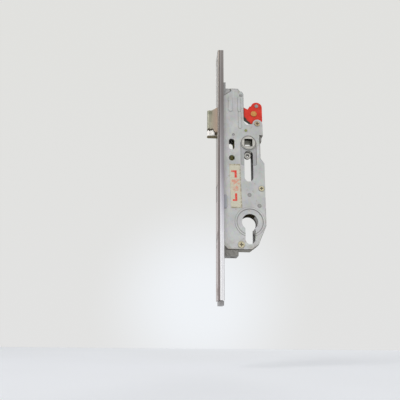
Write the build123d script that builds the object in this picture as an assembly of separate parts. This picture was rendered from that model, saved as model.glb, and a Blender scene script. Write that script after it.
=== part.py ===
from build123d import *
import math
import os

os.makedirs("parts", exist_ok=True)

# Multipoint door lock, millimetres. The origin is the centre of the cylinder bore on the
# case's middle plane. +X goes from the faceplate into the door, -Y to the cover, +Z up.

# Driving sizes of the lock
BACKSET = 35.0
CENTRES = 92.0
CASE_THICKNESS = 16.0
PLATE = 1.5
OVERRUN = 1.0
RUN_GAP = 0.05
SEAT_GAP = 0.3
LAYER_GAP = 0.35

# Faceplate, a U-section strip
FACE_WIDTH = 24.0
FACE_DEPTH = 6.7
FACE_WEB = 2.5
FACE_FLANGE = 2.0
FACE_CORNER = 1.6
FACE_TOP_REACH = 208.4
FACE_BOTTOM_REACH = 83.0
FACE_HOLE_RADIUS = 2.5
FACE_SINK_RADIUS = 4.6
FACE_SINK_DEPTH = 2.1
FACE_HOLE_TOP_INSET = 9.4
FACE_HOLE_BOTTOM_INSET = 13.0

# Drive rail behind the faceplate
RAIL_WIDTH = 18.0
RAIL_THICKNESS = 2.5
RAIL_END_WALL = 5.0
RAIL_TIP_REACH = 5.0
RAIL_TIP_WIDTH = 19.0
RAIL_TIP_THICKNESS = 5.0
RAIL_TIP_INSET = 1.4
RAIL_TIP_GAP = 0.4
RAIL_TIP_TAPER = 1.2
RAIL_LATCH_SIDE_GAP = 0.4
RAIL_END_INSET = 3.0

# Case outline: heights from the spindle or the cylinder, depths from the cylinder axis
CASE_BACK = 17.8
CASE_LEFT_GAP = 0.4
TOP_ABOVE_SPINDLE = 68.0
TOP_FLAT_END = -11.0
TOP_STEP_DEPTH = -8.6
TOP_STEP_DROP = 3.4
SHOULDER_DEPTH = -4.5
SHOULDER_DROP = 7.0
SHOULDER_START = -6.6
NOTCH_ABOVE_SPINDLE = 25.8
NOTCH_DEPTH = -0.7
NOTCH_RADIUS = 3.3
NOTCH_FLOOR_WIDTH = 3.1
NOTCH_FLOOR_DROP = 3.6
LOBE_CENTRE_DEPTH = 10.9
LOBE_RADIUS = 5.9
LOBE_ABOVE_SPINDLE = 23.4
LOBE_BACK = 17.0
EDGE_NOTCH_BACK = 12.9
EDGE_NOTCH_TOP = 9.6
CRIMP_REACH = 1.9
CRIMP_RISE = 0.5
CRIMP_LOW = 1.6
CRIMP_HIGH = 6.6
COVER_INSET = 0.25
WAIST_BACK = 13.5
WAIST_BOTTOM = -18.6
WAIST_SLOPE_DROP = 6.3
BACK_FOOT_DROP = 3.5
BOTTOM_FLAT_END = 1.6
BOTTOM_CURVE_DEPTH = 9.0
BOTTOM_CURVE_DROP = 24.6
BOTTOM_SLOPE_DEPTH = 16.2
BOTTOM_SLOPE_DROP = 7.4
CORNER_CUT_DEPTH = 10.3
CORNER_CUT_HEIGHT = 7.4
CORNER_CUT_LIFT = 3.0
CORNER_CUT_BACK = 1.5
FOOT_CUT_DEPTH = 5.4
FOOT_CUT_HEIGHT = 5.2
OUTLINE_FILLET = 1.1

# Spindle follower
SPINDLE_SQUARE = 8.1
FOLLOWER_BOSS_RADIUS = 7.7
FOLLOWER_HUB_RADIUS = 10.3
FOLLOWER_ARM_RADIUS = 18.6
FOLLOWER_NOSE_RADIUS = 1.8
FOLLOWER_TAIL_DROP = 15.3
FOLLOWER_TAIL_SIDE = -1.1
FOLLOWER_TAIL_RADIUS = 3.6
FOLLOWER_EYE_RADIUS = 1.3
FOLLOWER_COLLAR_WIDTH = 0.8
FOLLOWER_COLLAR_RISE = 0.45

# Recess round the spindle and the long slot below it
RECESS_HALF_WIDTH = 9.1
RECESS_BELOW_SPINDLE = 27.6
RECESS_DEPTH = 0.6
RECESS_CORNER = 2.4
SLOT_HALF_WIDTH = 4.9
SLOT_TOP_DROP = 9.6
SLOT_BOTTOM_DROP = 46.3

# Openings for the handle's fixings
ROSE_OFFSET = 19.0
ROSE_SLOT_RADIUS = 3.2
ROSE_SLOT_HEIGHT = 13.3
ROSE_SLOT_DROP = 2.3
ROSE_HOLE_RADIUS = 3.35

# Cylinder hole, euro profile
CYLINDER_RADIUS = 8.75
CYLINDER_SLOT_WIDTH = 10.4
CYLINDER_HEIGHT = 33.0
CYLINDER_FLOOR = 6.05
CYLINDER_RING_INNER = 14.3
CYLINDER_RING_OUTER = 16.1
CYLINDER_RING_RISE = 0.5
CYLINDER_SCREW_LIFT = 5.75
CYLINDER_SCREW_RADIUS = 2.4
CYLINDER_SCREW_HEAD = 4.4
CYLINDER_SCREW_SINK = 2.3

# Gear train. All wheels have one module, and stub teeth.
MODULE = 1.0
PRESSURE_ANGLE = 25.0
ADDENDUM_SHARE = 0.75
DEDENDUM_SHARE = 1.0
BACKLASH = 0.24
CYLINDER_TEETH = 30
IDLER_TEETH = 12
IDLER_PINION_TEETH = 7
DRIVE_TEETH = 25
SLIDER_PINION_TEETH = 9
BOLT_PINION_TEETH = 7
IDLER_SIDE = 10.6
AXLE_RADIUS = 1.5
IDLER_WINDOW_GAP = 0.5
CYLINDER_HUB_WALL = 2.6
CYLINDER_COLLAR = 0.55
CYLINDER_COLLAR_LENGTH = 1.4
CYLINDER_GAP_REACH = 16.0
KEY_TURN = 360.0

# Layers inside the case, counted from the inner face of the cover
GEAR_LAYER = 2.8
WHEEL_LAYER = 2.4
BOLT_LAYER_START = 7.4
BOLT_LAYER = 3.2
SLIDER_LAYER = 1.4
SLIDER_BACK_GAP = 0.1

# Dead bolt
BOLT_HALF_THICKNESS = 5.7
BOLT_LOW = 24.0
BOLT_HIGH = 42.0
BOLT_HEAD_LENGTH = 18.2
BOLT_FACE_INSET = 0.2
BOLT_TAIL_BACK = 16.0
BOLT_TAIL_LAP = 6.0
BOLT_CORNER = 1.2

# Latch bolt
LATCH_REACH = 11.0
LATCH_ABOVE_SPINDLE = 10.0
LATCH_HEIGHT = 33.5
LATCH_HALF_THICKNESS = 6.3
LATCH_NOSE_FACE = 1.7
LATCH_BEVEL_LENGTH = 6.2
LATCH_HEAD_LENGTH = 24.0
LATCH_NOSE_ROUND = 1.6
LATCH_LIP_HEIGHT = 4.2
LATCH_LIP_DEPTH = 11.0
LATCH_LIP_GAP = 0.5
LATCH_TAIL_INSET = 3.4
LATCH_TAIL_HEIGHT = 7.0
LATCH_TAIL_LAP = 9.0
LATCH_TAIL_THICKNESS = 2.4
LATCH_TAIL_NEAR = 1.2
LATCH_SHOULDER_THICKNESS = 2.3
LATCH_ARM_NEAR = -3.0
LATCH_SPRING_INSET = 8.0
LATCH_SPRING_RADIUS = 3.4
LATCH_SPRING_WIRE = 0.9
LATCH_SPRING_TURNS = 4
LATCH_SPIGOT_LENGTH = 2.5
LATCH_SPIGOT_RADIUS = 1.9
WINDOW_GAP = 0.3

# Slider with its rack, and the bracket that joins it to the drive rail
SPINE_LEFT = -19.0
SPINE_RIGHT = -12.6
SPINE_WAIST = -16.2
SPINE_WAIST_START = 23.0
SLIDER_WIDE_BOTTOM = 28.6
SLIDER_RACK_TOP = 53.0
SLIDER_NECK_LEFT = -15.2
SLIDER_NECK_RIGHT = -11.3
SLIDER_NECK_START = 82.0
SLIDER_TOP = 100.0
SLIDER_FOOT = 3.8
GUIDE_POST_X = -13.7
GUIDE_POST_Z = 58.0
GUIDE_POST_RADIUS = 1.2
GUIDE_SIDE_GAP = 0.15
BRACKET_RIGHT = -12.7
BRACKET_HEIGHT = 6.6
BRACKET_HALF_WIDTH = 7.5
BRACKET_SLOT_DEPTH = 2.0
BRACKET_SLOT_LENGTH = 5.0
BRACKET_CHAMFER = 1.0

# Handle: turn of the follower, and the plunger and spring that bring it back
PLUNGER_X = 8.9
PLUNGER_RADIUS = 2.1
PLUNGER_THICKNESS = 2.0
PLUNGER_DROP = 4.0
FOLLOWER_STEP_START = 4.6
FOLLOWER_RELIEF_RADIUS = 7.9
FOLLOWER_BOSS_RISE = 0.2
FOLLOWER_TAIL_THICKNESS = 3.0
SPINDLE_MOUTH = 0.5
LATCH_ARM_GAP = 0.8
RETURN_SPRING_LENGTH = 13.0
RETURN_SPRING_WIRE = 0.8
RETURN_SPRING_TURNS = 5
SPRING_SEAT_THICKNESS = 1.5

# Red lever beside the case, with its rivet and stud
LEVER_THICKNESS = 1.5
LEVER_NEAR_GAP = 0.15
LEVER_PIVOT_X = 10.5
LEVER_PIVOT_ABOVE = 23.6
PILLAR_RADIUS = 2.4
LEVER_FOOT_RADIUS = 4.5
LEVER_TOP_RADIUS = 6.4
LEVER_TOP_X = 10.5
LEVER_TOP_ABOVE = 45.2
LEVER_SADDLE_X = 0.0
LEVER_SADDLE_ABOVE = 42.3
LEVER_TIP_X = -6.2
LEVER_TIP_ABOVE = 45.8
LEVER_TIP_LOW_ABOVE = 41.5
LEVER_LEFT_X = -4.0
LEVER_LEFT_ABOVE = 28.2
LEVER_RISE_X = 2.8
LEVER_RISE_ABOVE = 46.6
LEVER_HEEL_X = 1.6
LEVER_HEEL_ABOVE = 24.4
LEVER_RIVET_X = 7.1
LEVER_RIVET_ABOVE = 36.8
LEVER_RIVET_RADIUS = 3.4
LEVER_RIVET_SHANK = 2.0
LEVER_RIVET_RISE = 0.7
LEVER_STUD_X = 10.5
LEVER_STUD_ABOVE = 46.8
LEVER_STUD_RADIUS = 2.1
LEVER_STUD_SHANK = 1.4
LEVER_STUD_RISE = 0.5
LEVER_ROOM = 0.2

# Cover pressings
RIB_RISE = 0.45
RIB_WIDE = 4.7
RIB_NARROW = 3.1
RIB_WIDE_X = -20.0
RIB_INNER_X = -10.0
RIB_LOWER_X = -9.4
RIB_LENGTH = 19.0
RIB_LOWER_LENGTH = 21.0
RIB_TOP_ABOVE = 57.3
RIB_LOWER_TOP_ABOVE = 38.2
DIMPLE_X = -17.0
DIMPLE_ABOVE = 9.2
DIMPLE_RADIUS = 1.5
DIMPLE_DEPTH = 0.5
BOSS_X = -28.4
BOSS_Z = 22.0
BOSS_WIDTH = 3.4
BOSS_HEIGHT = 15.0
BOSS_RISE = 1.2

# Label
LABEL_WIDTH = 12.1
LABEL_HEIGHT = 50.7
LABEL_X = -15.1
LABEL_Z = 40.4
LABEL_TILT = 1.8
LABEL_THICKNESS = 0.15

# Screws, rivets and pins
SCREW_SHANK = 1.5
SCREW_HEAD_RISE = 0.9
SCREW_TOP_HEAD = 3.0
SCREW_SIDE_HEAD = 3.0
SCREW_SIDE_X = 13.4
SCREW_SIDE_Z = 37.7
SCREW_FOOT_HEAD = 3.5
SCREW_FOOT_X = -9.8
SCREW_FOOT_LIFT = 5.3
SCREW_LENGTH = 6.0
SCREW_SHORT_LENGTH = 3.3
CROSS_WIDTH = 1.0
CROSS_DEPTH = 0.8
CROSS_SPAN_SHARE = 1.2
FOOT_PILLAR_RADIUS = 2.4
TAB_THICKNESS = 1.6
TAB_LENGTH = 6.4
TAB_HEIGHT = 7.0
TIE_X = -7.7
TIE_ABOVE = 59.3
TIE_RADIUS = 1.7
PIN_X = -2.6
PIN_ABOVE = 14.8
PIN_RADIUS = 1.5
PIN_LENGTH = 3.4
PIN_RISE = 0.3

# Cast lugs that join the case to the faceplate
LUG_TONGUE_WIDTH = 4.4
LUG_TONGUE_HEIGHT = 10.0
LUG_TONGUE_HALF = 4.0
LUG_DEPTH = 10.0
LUG_HEIGHT = 9.0
LUG_FACE_STEP = 0.7
LUG_SPIGOT_RADIUS = 2.3
FOOT_LUG_DEPTH = 6.0
FOOT_LUG_HEIGHT = 8.0
LUG_FIT = 0.05

# Latch guide
GUIDE_NEAR_X = -10.5
GUIDE_LENGTH = 3.0
GUIDE_WALL = 1.8
GUIDE_FIT = 0.1

# Places and sizes worked out from the values above
spindle_z = CENTRES
face_front = -BACKSET
face_back = face_front + FACE_WEB
face_top = FACE_TOP_REACH
face_bottom = -FACE_BOTTOM_REACH
case_near = -CASE_THICKNESS / 2
case_far = CASE_THICKNESS / 2
inner_near = case_near + PLATE
inner_far = case_far - PLATE
rail_front = face_back + SEAT_GAP / 2
rail_back = rail_front + RAIL_THICKNESS
case_left = rail_back + CASE_LEFT_GAP
case_top = spindle_z + TOP_ABOVE_SPINDLE
case_bottom = CYLINDER_RADIUS - CYLINDER_HEIGHT - CYLINDER_FLOOR
screw_foot_z = case_bottom + SCREW_FOOT_LIFT
cylinder_screw_z = CYLINDER_RADIUS - CYLINDER_HEIGHT + CYLINDER_SCREW_LIFT
latch_low = spindle_z + LATCH_ABOVE_SPINDLE
latch_high = latch_low + LATCH_HEIGHT
latch_tail_low = latch_low + LATCH_TAIL_INSET
latch_tail_high = latch_tail_low + LATCH_TAIL_HEIGHT
latch_spring_z = latch_high - LATCH_SPRING_INSET

gear_near = inner_near + SEAT_GAP
gear_far = gear_near + GEAR_LAYER
wheel_near = gear_far + LAYER_GAP
wheel_far = wheel_near + WHEEL_LAYER
bolt_near = inner_near + BOLT_LAYER_START
bolt_far = bolt_near + BOLT_LAYER
slider_far = inner_far - SLIDER_BACK_GAP
slider_near = slider_far - SLIDER_LAYER


def pitch_radius(teeth):
    return MODULE * teeth / 2


cylinder_reach = pitch_radius(CYLINDER_TEETH) + pitch_radius(IDLER_TEETH)
idler_z = math.sqrt(cylinder_reach**2 - IDLER_SIDE**2)
drive_reach = pitch_radius(IDLER_PINION_TEETH) + pitch_radius(DRIVE_TEETH)
drive_z = idler_z + math.sqrt(drive_reach**2 - IDLER_SIDE**2)
slider_pinion_radius = pitch_radius(SLIDER_PINION_TEETH)
bolt_pinion_radius = pitch_radius(BOLT_PINION_TEETH)
train_ratio = CYLINDER_TEETH / IDLER_TEETH * IDLER_PINION_TEETH / DRIVE_TEETH
slider_travel = math.radians(KEY_TURN) * train_ratio * slider_pinion_radius
bolt_throw = math.radians(KEY_TURN) * train_ratio * bolt_pinion_radius
spring_bottom = spindle_z - PLUNGER_DROP - SEAT_GAP - PLUNGER_THICKNESS - RETURN_SPRING_LENGTH
top_spigot_z = case_top + LUG_TONGUE_HEIGHT / 2
foot_spigot_z = case_bottom + FOOT_LUG_HEIGHT / 2


def slab(sketch, near, far):
    """A plate with the given XZ outline, from Y near to Y far."""
    return extrude(Plane.XZ.offset(-far) * sketch, amount=far - near)


def disc(x, z, radius, near, far):
    return slab(Pos(x, z) * Circle(radius), near, far)


def block(x0, x1, near, far, z0, z1):
    """A box between two values on each axis."""
    return Pos(x0, near, z0) * Box(x1 - x0, far - near, z1 - z0, align=Align.MIN)


def bar_x(x0, x1, y, z, radius):
    """A round bar along X."""
    return extrude(Plane(origin=(x0, y, z), z_dir=(1, 0, 0)) * Circle(radius), amount=x1 - x0)


def outline(*points):
    return make_face(Polyline(*points, close=True))


def capsule(x, z_top, width, length):
    """An upright slot shape whose top end is at z_top."""
    return Pos(x, z_top - length / 2) * Rot(0, 0, 90) * SlotOverall(length, width)


def write(name, shape):
    solids = shape.solids()
    body = solids[0] if len(solids) == 1 else Compound(children=solids)
    body.label = name
    export_step(body, "parts/" + name + ".step")


# Gear teeth


def involute_half_width(teeth, radius):
    """Half the angle of a tooth at a radius, in radians."""
    pitch = pitch_radius(teeth)
    base = pitch * math.cos(math.radians(PRESSURE_ANGLE))
    alpha = math.radians(PRESSURE_ANGLE)
    half = (math.pi * MODULE / 2 - BACKLASH) / (2 * pitch)
    if radius <= base:
        return half + math.tan(alpha) - alpha
    here = math.acos(base / radius)
    return half + (math.tan(alpha) - alpha) - (math.tan(here) - here)


def gear_outline(teeth, phase):
    """A gear's XZ outline, with one tooth centred at phase, in degrees from +X to +Z."""
    pitch = pitch_radius(teeth)
    tip = pitch + ADDENDUM_SHARE * MODULE
    root = pitch - DEDENDUM_SHARE * MODULE
    base = pitch * math.cos(math.radians(PRESSURE_ANGLE))
    low = max(base, root)
    radii = [root, low, (low + tip) / 2, tip] if low > root else [root, (root + tip) / 2, tip]
    points = []
    for tooth in range(teeth):
        centre = math.radians(phase) + 2 * math.pi * tooth / teeth
        for radius in radii:
            angle = centre - involute_half_width(teeth, radius)
            points.append((radius * math.cos(angle), radius * math.sin(angle)))
        for radius in reversed(radii):
            angle = centre + involute_half_width(teeth, radius)
            points.append((radius * math.cos(angle), radius * math.sin(angle)))
    return outline(*points)


def mesh_phase(driver_teeth, driver_phase, direction, teeth):
    """The phase of a wheel that meshes with a driver which lies at -direction from it."""
    pitch_part = ((direction - driver_phase) * driver_teeth / 360) % 1
    return direction + 180 - (0.5 - pitch_part) * 360 / teeth


def rack_offset(teeth, phase, direction):
    """How far a rack tooth stands from the pinion's centre line, against its turn."""
    pitch_part = ((direction - phase) * teeth / 360) % 1
    return ((pitch_part + 0.5) % 1) * math.pi * MODULE


def rack_teeth(first, last, offset):
    """Trapezoid teeth along a line: pairs of (place, height) from the pitch line."""
    step = math.pi * MODULE
    flank = math.tan(math.radians(PRESSURE_ANGLE))
    half = (step / 2 - BACKLASH) / 2
    high = ADDENDUM_SHARE * MODULE
    deep = DEDENDUM_SHARE * MODULE
    points = []
    for count in range(math.ceil((first - offset) / step), math.floor((last - offset) / step) + 1):
        centre = offset + count * step
        points.append((centre - half - deep * flank, -deep))
        points.append((centre - half + high * flank, high))
        points.append((centre + half - high * flank, high))
        points.append((centre + half + deep * flank, -deep))
    return points


up_angle = 90.0
idler_angle = math.degrees(math.atan2(idler_z, IDLER_SIDE))
drive_angle = math.degrees(math.atan2(drive_z - idler_z, -IDLER_SIDE))
cylinder_phase = up_angle
idler_phase = mesh_phase(CYLINDER_TEETH, cylinder_phase, idler_angle, IDLER_TEETH)
drive_phase = up_angle
idler_pinion_phase = mesh_phase(DRIVE_TEETH, drive_phase, drive_angle - 180, IDLER_PINION_TEETH)
pinion_phase = up_angle


# Faceplate and drive rail


def face_profile():
    """The U section in plan, X to the right and Y away from the viewer."""
    half = FACE_WIDTH / 2
    outer = Pos(face_front, -half) * Rectangle(FACE_DEPTH, FACE_WIDTH, align=Align.MIN)
    front = outer.vertices().sort_by(Axis.X)[:2]
    outer = fillet(front, FACE_CORNER)
    inner_width = FACE_WIDTH - 2 * FACE_FLANGE
    inner = Pos(face_back, -inner_width / 2) * Rectangle(FACE_DEPTH, inner_width, align=Align.MIN)
    return outer - inner


def countersunk(z, radius, head, depth):
    """A hole through the faceplate's web, sunk on the front."""
    hole = bar_x(face_front - OVERRUN, face_back + OVERRUN, 0, z, radius)
    mouth = Plane(origin=(face_front, 0, z), z_dir=(1, 0, 0)) * Circle(head)
    throat = Plane(origin=(face_front + depth, 0, z), z_dir=(1, 0, 0)) * Circle(radius)
    return hole + loft([mouth, throat])


def faceplate():
    plate = extrude(Plane.XY.offset(face_bottom) * face_profile(), amount=face_top - face_bottom)
    through = (face_front - OVERRUN, face_back + OVERRUN)
    latch_half = LATCH_HALF_THICKNESS + WINDOW_GAP
    bolt_half = BOLT_HALF_THICKNESS + WINDOW_GAP
    plate -= block(*through, -latch_half, latch_half, latch_low - WINDOW_GAP, latch_high + WINDOW_GAP)
    plate -= block(*through, -bolt_half, bolt_half, BOLT_LOW - WINDOW_GAP, BOLT_HIGH + WINDOW_GAP)
    for z in (face_top - FACE_HOLE_TOP_INSET, face_bottom + FACE_HOLE_BOTTOM_INSET):
        plate -= countersunk(z, FACE_HOLE_RADIUS, FACE_SINK_RADIUS, FACE_SINK_DEPTH)
    screw_hole = CYLINDER_SCREW_RADIUS + RUN_GAP
    plate -= countersunk(cylinder_screw_z, screw_hole, CYLINDER_SCREW_HEAD, CYLINDER_SCREW_SINK)
    for z in (top_spigot_z, foot_spigot_z):
        plate -= bar_x(*through, 0, z, LUG_SPIGOT_RADIUS)
    return plate


def rail_slot(low, high, half):
    """A window in the rail that clears a fixed piece over the rail's whole travel."""
    return block(rail_front - OVERRUN, rail_back + OVERRUN, -half, half, low, high + slider_travel)


def drive_rail():
    half = RAIL_WIDTH / 2
    bottom = face_bottom + RAIL_END_INSET
    top = top_spigot_z + LUG_SPIGOT_RADIUS + slider_travel + RAIL_END_WALL
    rail = block(rail_front, rail_back, -half, half, bottom, top)
    tip_half = RAIL_TIP_WIDTH / 2
    tip_top = face_bottom - RAIL_TIP_GAP
    tip_z = face_bottom - RAIL_TIP_REACH
    tip = outline(
        (-tip_half, tip_top),
        (tip_half, tip_top),
        (tip_half, tip_z + RAIL_TIP_TAPER),
        (tip_half - RAIL_TIP_TAPER, tip_z),
        (RAIL_TIP_TAPER - tip_half, tip_z),
        (-tip_half, tip_z + RAIL_TIP_TAPER),
    )
    rail += extrude(Plane.YZ.offset(face_front + RAIL_TIP_INSET) * tip, amount=RAIL_TIP_THICKNESS)
    rail += block(rail_front, rail_back, -half, half, tip_top, bottom)
    gap = RAIL_LATCH_SIDE_GAP
    rail -= rail_slot(latch_low - gap, latch_high + gap, LATCH_HALF_THICKNESS + gap)
    rail -= rail_slot(BOLT_LOW - gap, BOLT_HIGH + gap, BOLT_HALF_THICKNESS + gap)
    for z in (top_spigot_z, foot_spigot_z):
        reach = LUG_SPIGOT_RADIUS + gap
        rail -= rail_slot(z - reach, z + reach, reach)
    reach = CYLINDER_SCREW_RADIUS + gap
    rail -= rail_slot(cylinder_screw_z - reach, cylinder_screw_z + reach, reach)
    reach = FACE_HOLE_RADIUS + gap
    low_hole = face_bottom + FACE_HOLE_BOTTOM_INSET
    rail -= rail_slot(low_hole - reach, low_hole + reach, reach)
    return rail


# Case


def case_polygon():
    """The plates' straight edges in XZ, clockwise from the upper left."""
    top = case_top
    lobe_z = spindle_z + LOBE_ABOVE_SPINDLE
    notch_z = spindle_z + NOTCH_ABOVE_SPINDLE
    waist_z = spindle_z + WAIST_BOTTOM
    return outline(
        (case_left, top),
        (TOP_FLAT_END, top),
        (TOP_STEP_DEPTH, top - TOP_STEP_DROP),
        (SHOULDER_START, top - TOP_STEP_DROP),
        (SHOULDER_DEPTH, top - SHOULDER_DROP),
        (SHOULDER_DEPTH, notch_z),
        (SHOULDER_DEPTH + NOTCH_FLOOR_WIDTH, notch_z - NOTCH_FLOOR_DROP),
        (LOBE_CENTRE_DEPTH - LOBE_RADIUS, lobe_z),
        (LOBE_BACK, lobe_z),
        (LOBE_BACK, spindle_z + EDGE_NOTCH_TOP),
        (EDGE_NOTCH_BACK, spindle_z + EDGE_NOTCH_TOP),
        (EDGE_NOTCH_BACK, spindle_z),
        (WAIST_BACK, spindle_z),
        (WAIST_BACK, waist_z),
        (CASE_BACK, waist_z - WAIST_SLOPE_DROP),
        (CASE_BACK, -BACK_FOOT_DROP),
        (BOTTOM_SLOPE_DEPTH, -BOTTOM_SLOPE_DROP),
        (BOTTOM_CURVE_DEPTH, -BOTTOM_CURVE_DROP),
        (BOTTOM_FLAT_END, case_bottom),
        (case_left, case_bottom),
    )


def lobe(radius):
    """The round ear of the plates that carries the lever's pivot."""
    return Pos(LOBE_CENTRE_DEPTH, spindle_z + LOBE_ABOVE_SPINDLE) * Circle(radius)


def case_outline():
    return case_polygon() + lobe(LOBE_RADIUS)


def corner_cut():
    """The slanted upper left corner of the cover, where the cast lug shows."""
    top = case_top
    return outline(
        (case_left - OVERRUN, top + OVERRUN),
        (case_left + CORNER_CUT_DEPTH - CORNER_CUT_BACK, top + OVERRUN),
        (case_left + CORNER_CUT_DEPTH - CORNER_CUT_BACK, top),
        (case_left + CORNER_CUT_DEPTH, top - CORNER_CUT_LIFT),
        (case_left, top - CORNER_CUT_LIFT - CORNER_CUT_HEIGHT),
        (case_left - OVERRUN, top - CORNER_CUT_LIFT - CORNER_CUT_HEIGHT),
    )


def foot_cut():
    """The slanted lower left corner of the cover."""
    return outline(
        (case_left - OVERRUN, case_bottom - OVERRUN),
        (case_left + FOOT_CUT_DEPTH, case_bottom - OVERRUN),
        (case_left + FOOT_CUT_DEPTH, case_bottom),
        (case_left, case_bottom + FOOT_CUT_HEIGHT),
        (case_left - OVERRUN, case_bottom + FOOT_CUT_HEIGHT),
    )


def cylinder_profile(growth):
    """The euro profile hole, wider all round by growth."""
    half = CYLINDER_SLOT_WIDTH / 2 + growth
    foot = CYLINDER_HEIGHT - CYLINDER_RADIUS - half + growth
    slot = Pos(0, -foot / 2) * Rectangle(2 * half, foot)
    return Circle(CYLINDER_RADIUS + growth) + slot + Pos(0, -foot) * Circle(half)


def long_slot():
    length = SLOT_BOTTOM_DROP - SLOT_TOP_DROP
    return capsule(0, spindle_z - SLOT_TOP_DROP, 2 * SLOT_HALF_WIDTH, length)


def rose_slot():
    top = spindle_z - ROSE_SLOT_DROP + ROSE_SLOT_HEIGHT / 2
    return capsule(-ROSE_OFFSET, top, 2 * ROSE_SLOT_RADIUS, ROSE_SLOT_HEIGHT)


def plate_holes():
    """Holes that both plates have."""
    holes = cylinder_profile(0) + long_slot() + rose_slot()
    holes += Pos(0, spindle_z) * Circle(FOLLOWER_BOSS_RADIUS + RUN_GAP)
    for x, z in axle_places():
        holes += Pos(x, z) * Circle(AXLE_RADIUS)
    holes += Pos(TIE_X, spindle_z + TIE_ABOVE) * Circle(TIE_RADIUS)
    return holes


def axle_places():
    return [(IDLER_SIDE, idler_z), (-IDLER_SIDE, idler_z), (0, drive_z)]


def notch():
    return Pos(NOTCH_DEPTH, spindle_z + NOTCH_ABOVE_SPINDLE) * Circle(NOTCH_RADIUS)


def raised(sketch, rise):
    """A pressing that stands out of the cover."""
    return slab(sketch, case_near - rise, case_near)


def cover_outline():
    """The cover stands a little inside the tray's wall, which shows as a line round it."""
    plate = offset(case_polygon(), amount=-COVER_INSET, kind=Kind.INTERSECTION)
    return plate + lobe(LOBE_RADIUS - COVER_INSET)


def case_cover():
    face = cover_outline() - plate_holes() - corner_cut() - foot_cut() - notch()
    face -= Pos(-ROSE_OFFSET, spindle_z - ROSE_OFFSET) * Circle(ROSE_HOLE_RADIUS)
    face -= Pos(PIN_X, spindle_z + PIN_ABOVE) * Circle(PIN_RADIUS)
    for x, z in screw_places():
        face -= Pos(x, z) * Circle(SCREW_SHANK)
    cover = slab(face, case_near, inner_near)
    recess = Rectangle(2 * RECESS_HALF_WIDTH, RECESS_BELOW_SPINDLE, align=(Align.CENTER, Align.MAX))
    recess = Pos(0, spindle_z) * recess
    recess = fillet(recess.vertices().sort_by(Axis.Y)[:2], RECESS_CORNER)
    cover -= slab(recess, case_near - OVERRUN, case_near + RECESS_DEPTH)
    cover += raised(cover_ribs(), RIB_RISE)
    ring = Circle(CYLINDER_RING_OUTER) - Circle(CYLINDER_RING_INNER) - cylinder_profile(0)
    cover += raised(ring, CYLINDER_RING_RISE)
    collar_radius = FOLLOWER_BOSS_RADIUS + RUN_GAP
    collar = Circle(collar_radius + FOLLOWER_COLLAR_WIDTH) - Circle(collar_radius)
    cover += slab(Pos(0, spindle_z) * collar, case_near - FOLLOWER_COLLAR_RISE, inner_near)
    boss = Rectangle(BOSS_WIDTH, BOSS_HEIGHT, align=(Align.MIN, Align.CENTER))
    boss = Pos(BOSS_X, BOSS_Z) * boss
    boss = fillet(boss.vertices().sort_by(Axis.X)[2:], BOSS_WIDTH - OUTLINE_FILLET)
    cover += raised(boss, BOSS_RISE)
    rim = cylinder_profile(CYLINDER_COLLAR) & Circle(CYLINDER_RADIUS + CYLINDER_COLLAR)
    cover += slab(rim - cylinder_profile(0), inner_near, inner_near + CYLINDER_COLLAR_LENGTH)
    dimple = Pos(DIMPLE_X, spindle_z + DIMPLE_ABOVE) * Circle(DIMPLE_RADIUS)
    cover -= slab(dimple, case_near - OVERRUN, case_near + DIMPLE_DEPTH)
    return cover


def cover_ribs():
    ribs = capsule(RIB_WIDE_X, spindle_z + RIB_TOP_ABOVE, RIB_WIDE, RIB_LENGTH)
    ribs += capsule(RIB_INNER_X, spindle_z + RIB_TOP_ABOVE, RIB_NARROW, RIB_LENGTH)
    ribs += capsule(RIB_LOWER_X, spindle_z + RIB_LOWER_TOP_ABOVE, RIB_NARROW, RIB_LOWER_LENGTH)
    return ribs


def screw_places():
    return [
        (LEVER_PIVOT_X, spindle_z + LEVER_PIVOT_ABOVE),
        (SCREW_SIDE_X, SCREW_SIDE_Z),
        (SCREW_FOOT_X, screw_foot_z),
    ]


def case_tray():
    whole = case_outline()
    inside = offset(case_polygon(), amount=-PLATE, kind=Kind.INTERSECTION) + lobe(LOBE_RADIUS - PLATE)
    wall = whole - inside
    wall -= Pos(case_left - OVERRUN, case_bottom + PLATE) * Rectangle(
        PLATE + 2 * OVERRUN, case_top - case_bottom - 2 * PLATE, align=Align.MIN
    )
    tray = slab(whole - plate_holes(), inner_far, case_far) + slab(wall, inner_near, inner_far)
    tray = tray - lever_room() - slider_room() - top_lug_room() - foot_lug_room()
    tray += pillar(LEVER_PIVOT_X, spindle_z + LEVER_PIVOT_ABOVE, PILLAR_RADIUS)
    tray += pillar(SCREW_FOOT_X, screw_foot_z, FOOT_PILLAR_RADIUS)
    tray += screw_tab() + spring_seat() + guide_post() + crimp()
    return tray - tie_rivet() - idler_window()


def lever_room():
    """The part of the wall's height that the red lever swings over."""
    far = inner_near + LEVER_THICKNESS + LEVER_NEAR_GAP + LEVER_ROOM
    low = spindle_z + LEVER_PIVOT_ABOVE - LEVER_FOOT_RADIUS
    high = spindle_z + LEVER_TIP_ABOVE + 2 * OVERRUN
    return block(SHOULDER_START - OVERRUN, CASE_BACK, inner_near - OVERRUN, far, low, high)


def slider_room():
    """The gap in the bottom wall that the slider passes through."""
    left = SPINE_LEFT - SEAT_GAP
    right = SPINE_RIGHT + SEAT_GAP
    return block(left, right, slider_near - SEAT_GAP, inner_far, case_bottom - OVERRUN, case_bottom + PLATE)


def top_lug_room():
    right = case_left + LUG_DEPTH
    low = case_top - LUG_HEIGHT
    return block(case_left - OVERRUN, right, inner_near - OVERRUN, inner_far, low, case_top + OVERRUN)


def foot_lug_room():
    right = case_left + FOOT_LUG_DEPTH
    high = case_bottom + FOOT_LUG_HEIGHT
    return block(case_left - OVERRUN, right, inner_near - OVERRUN, inner_far, case_bottom - OVERRUN, high)


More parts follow.
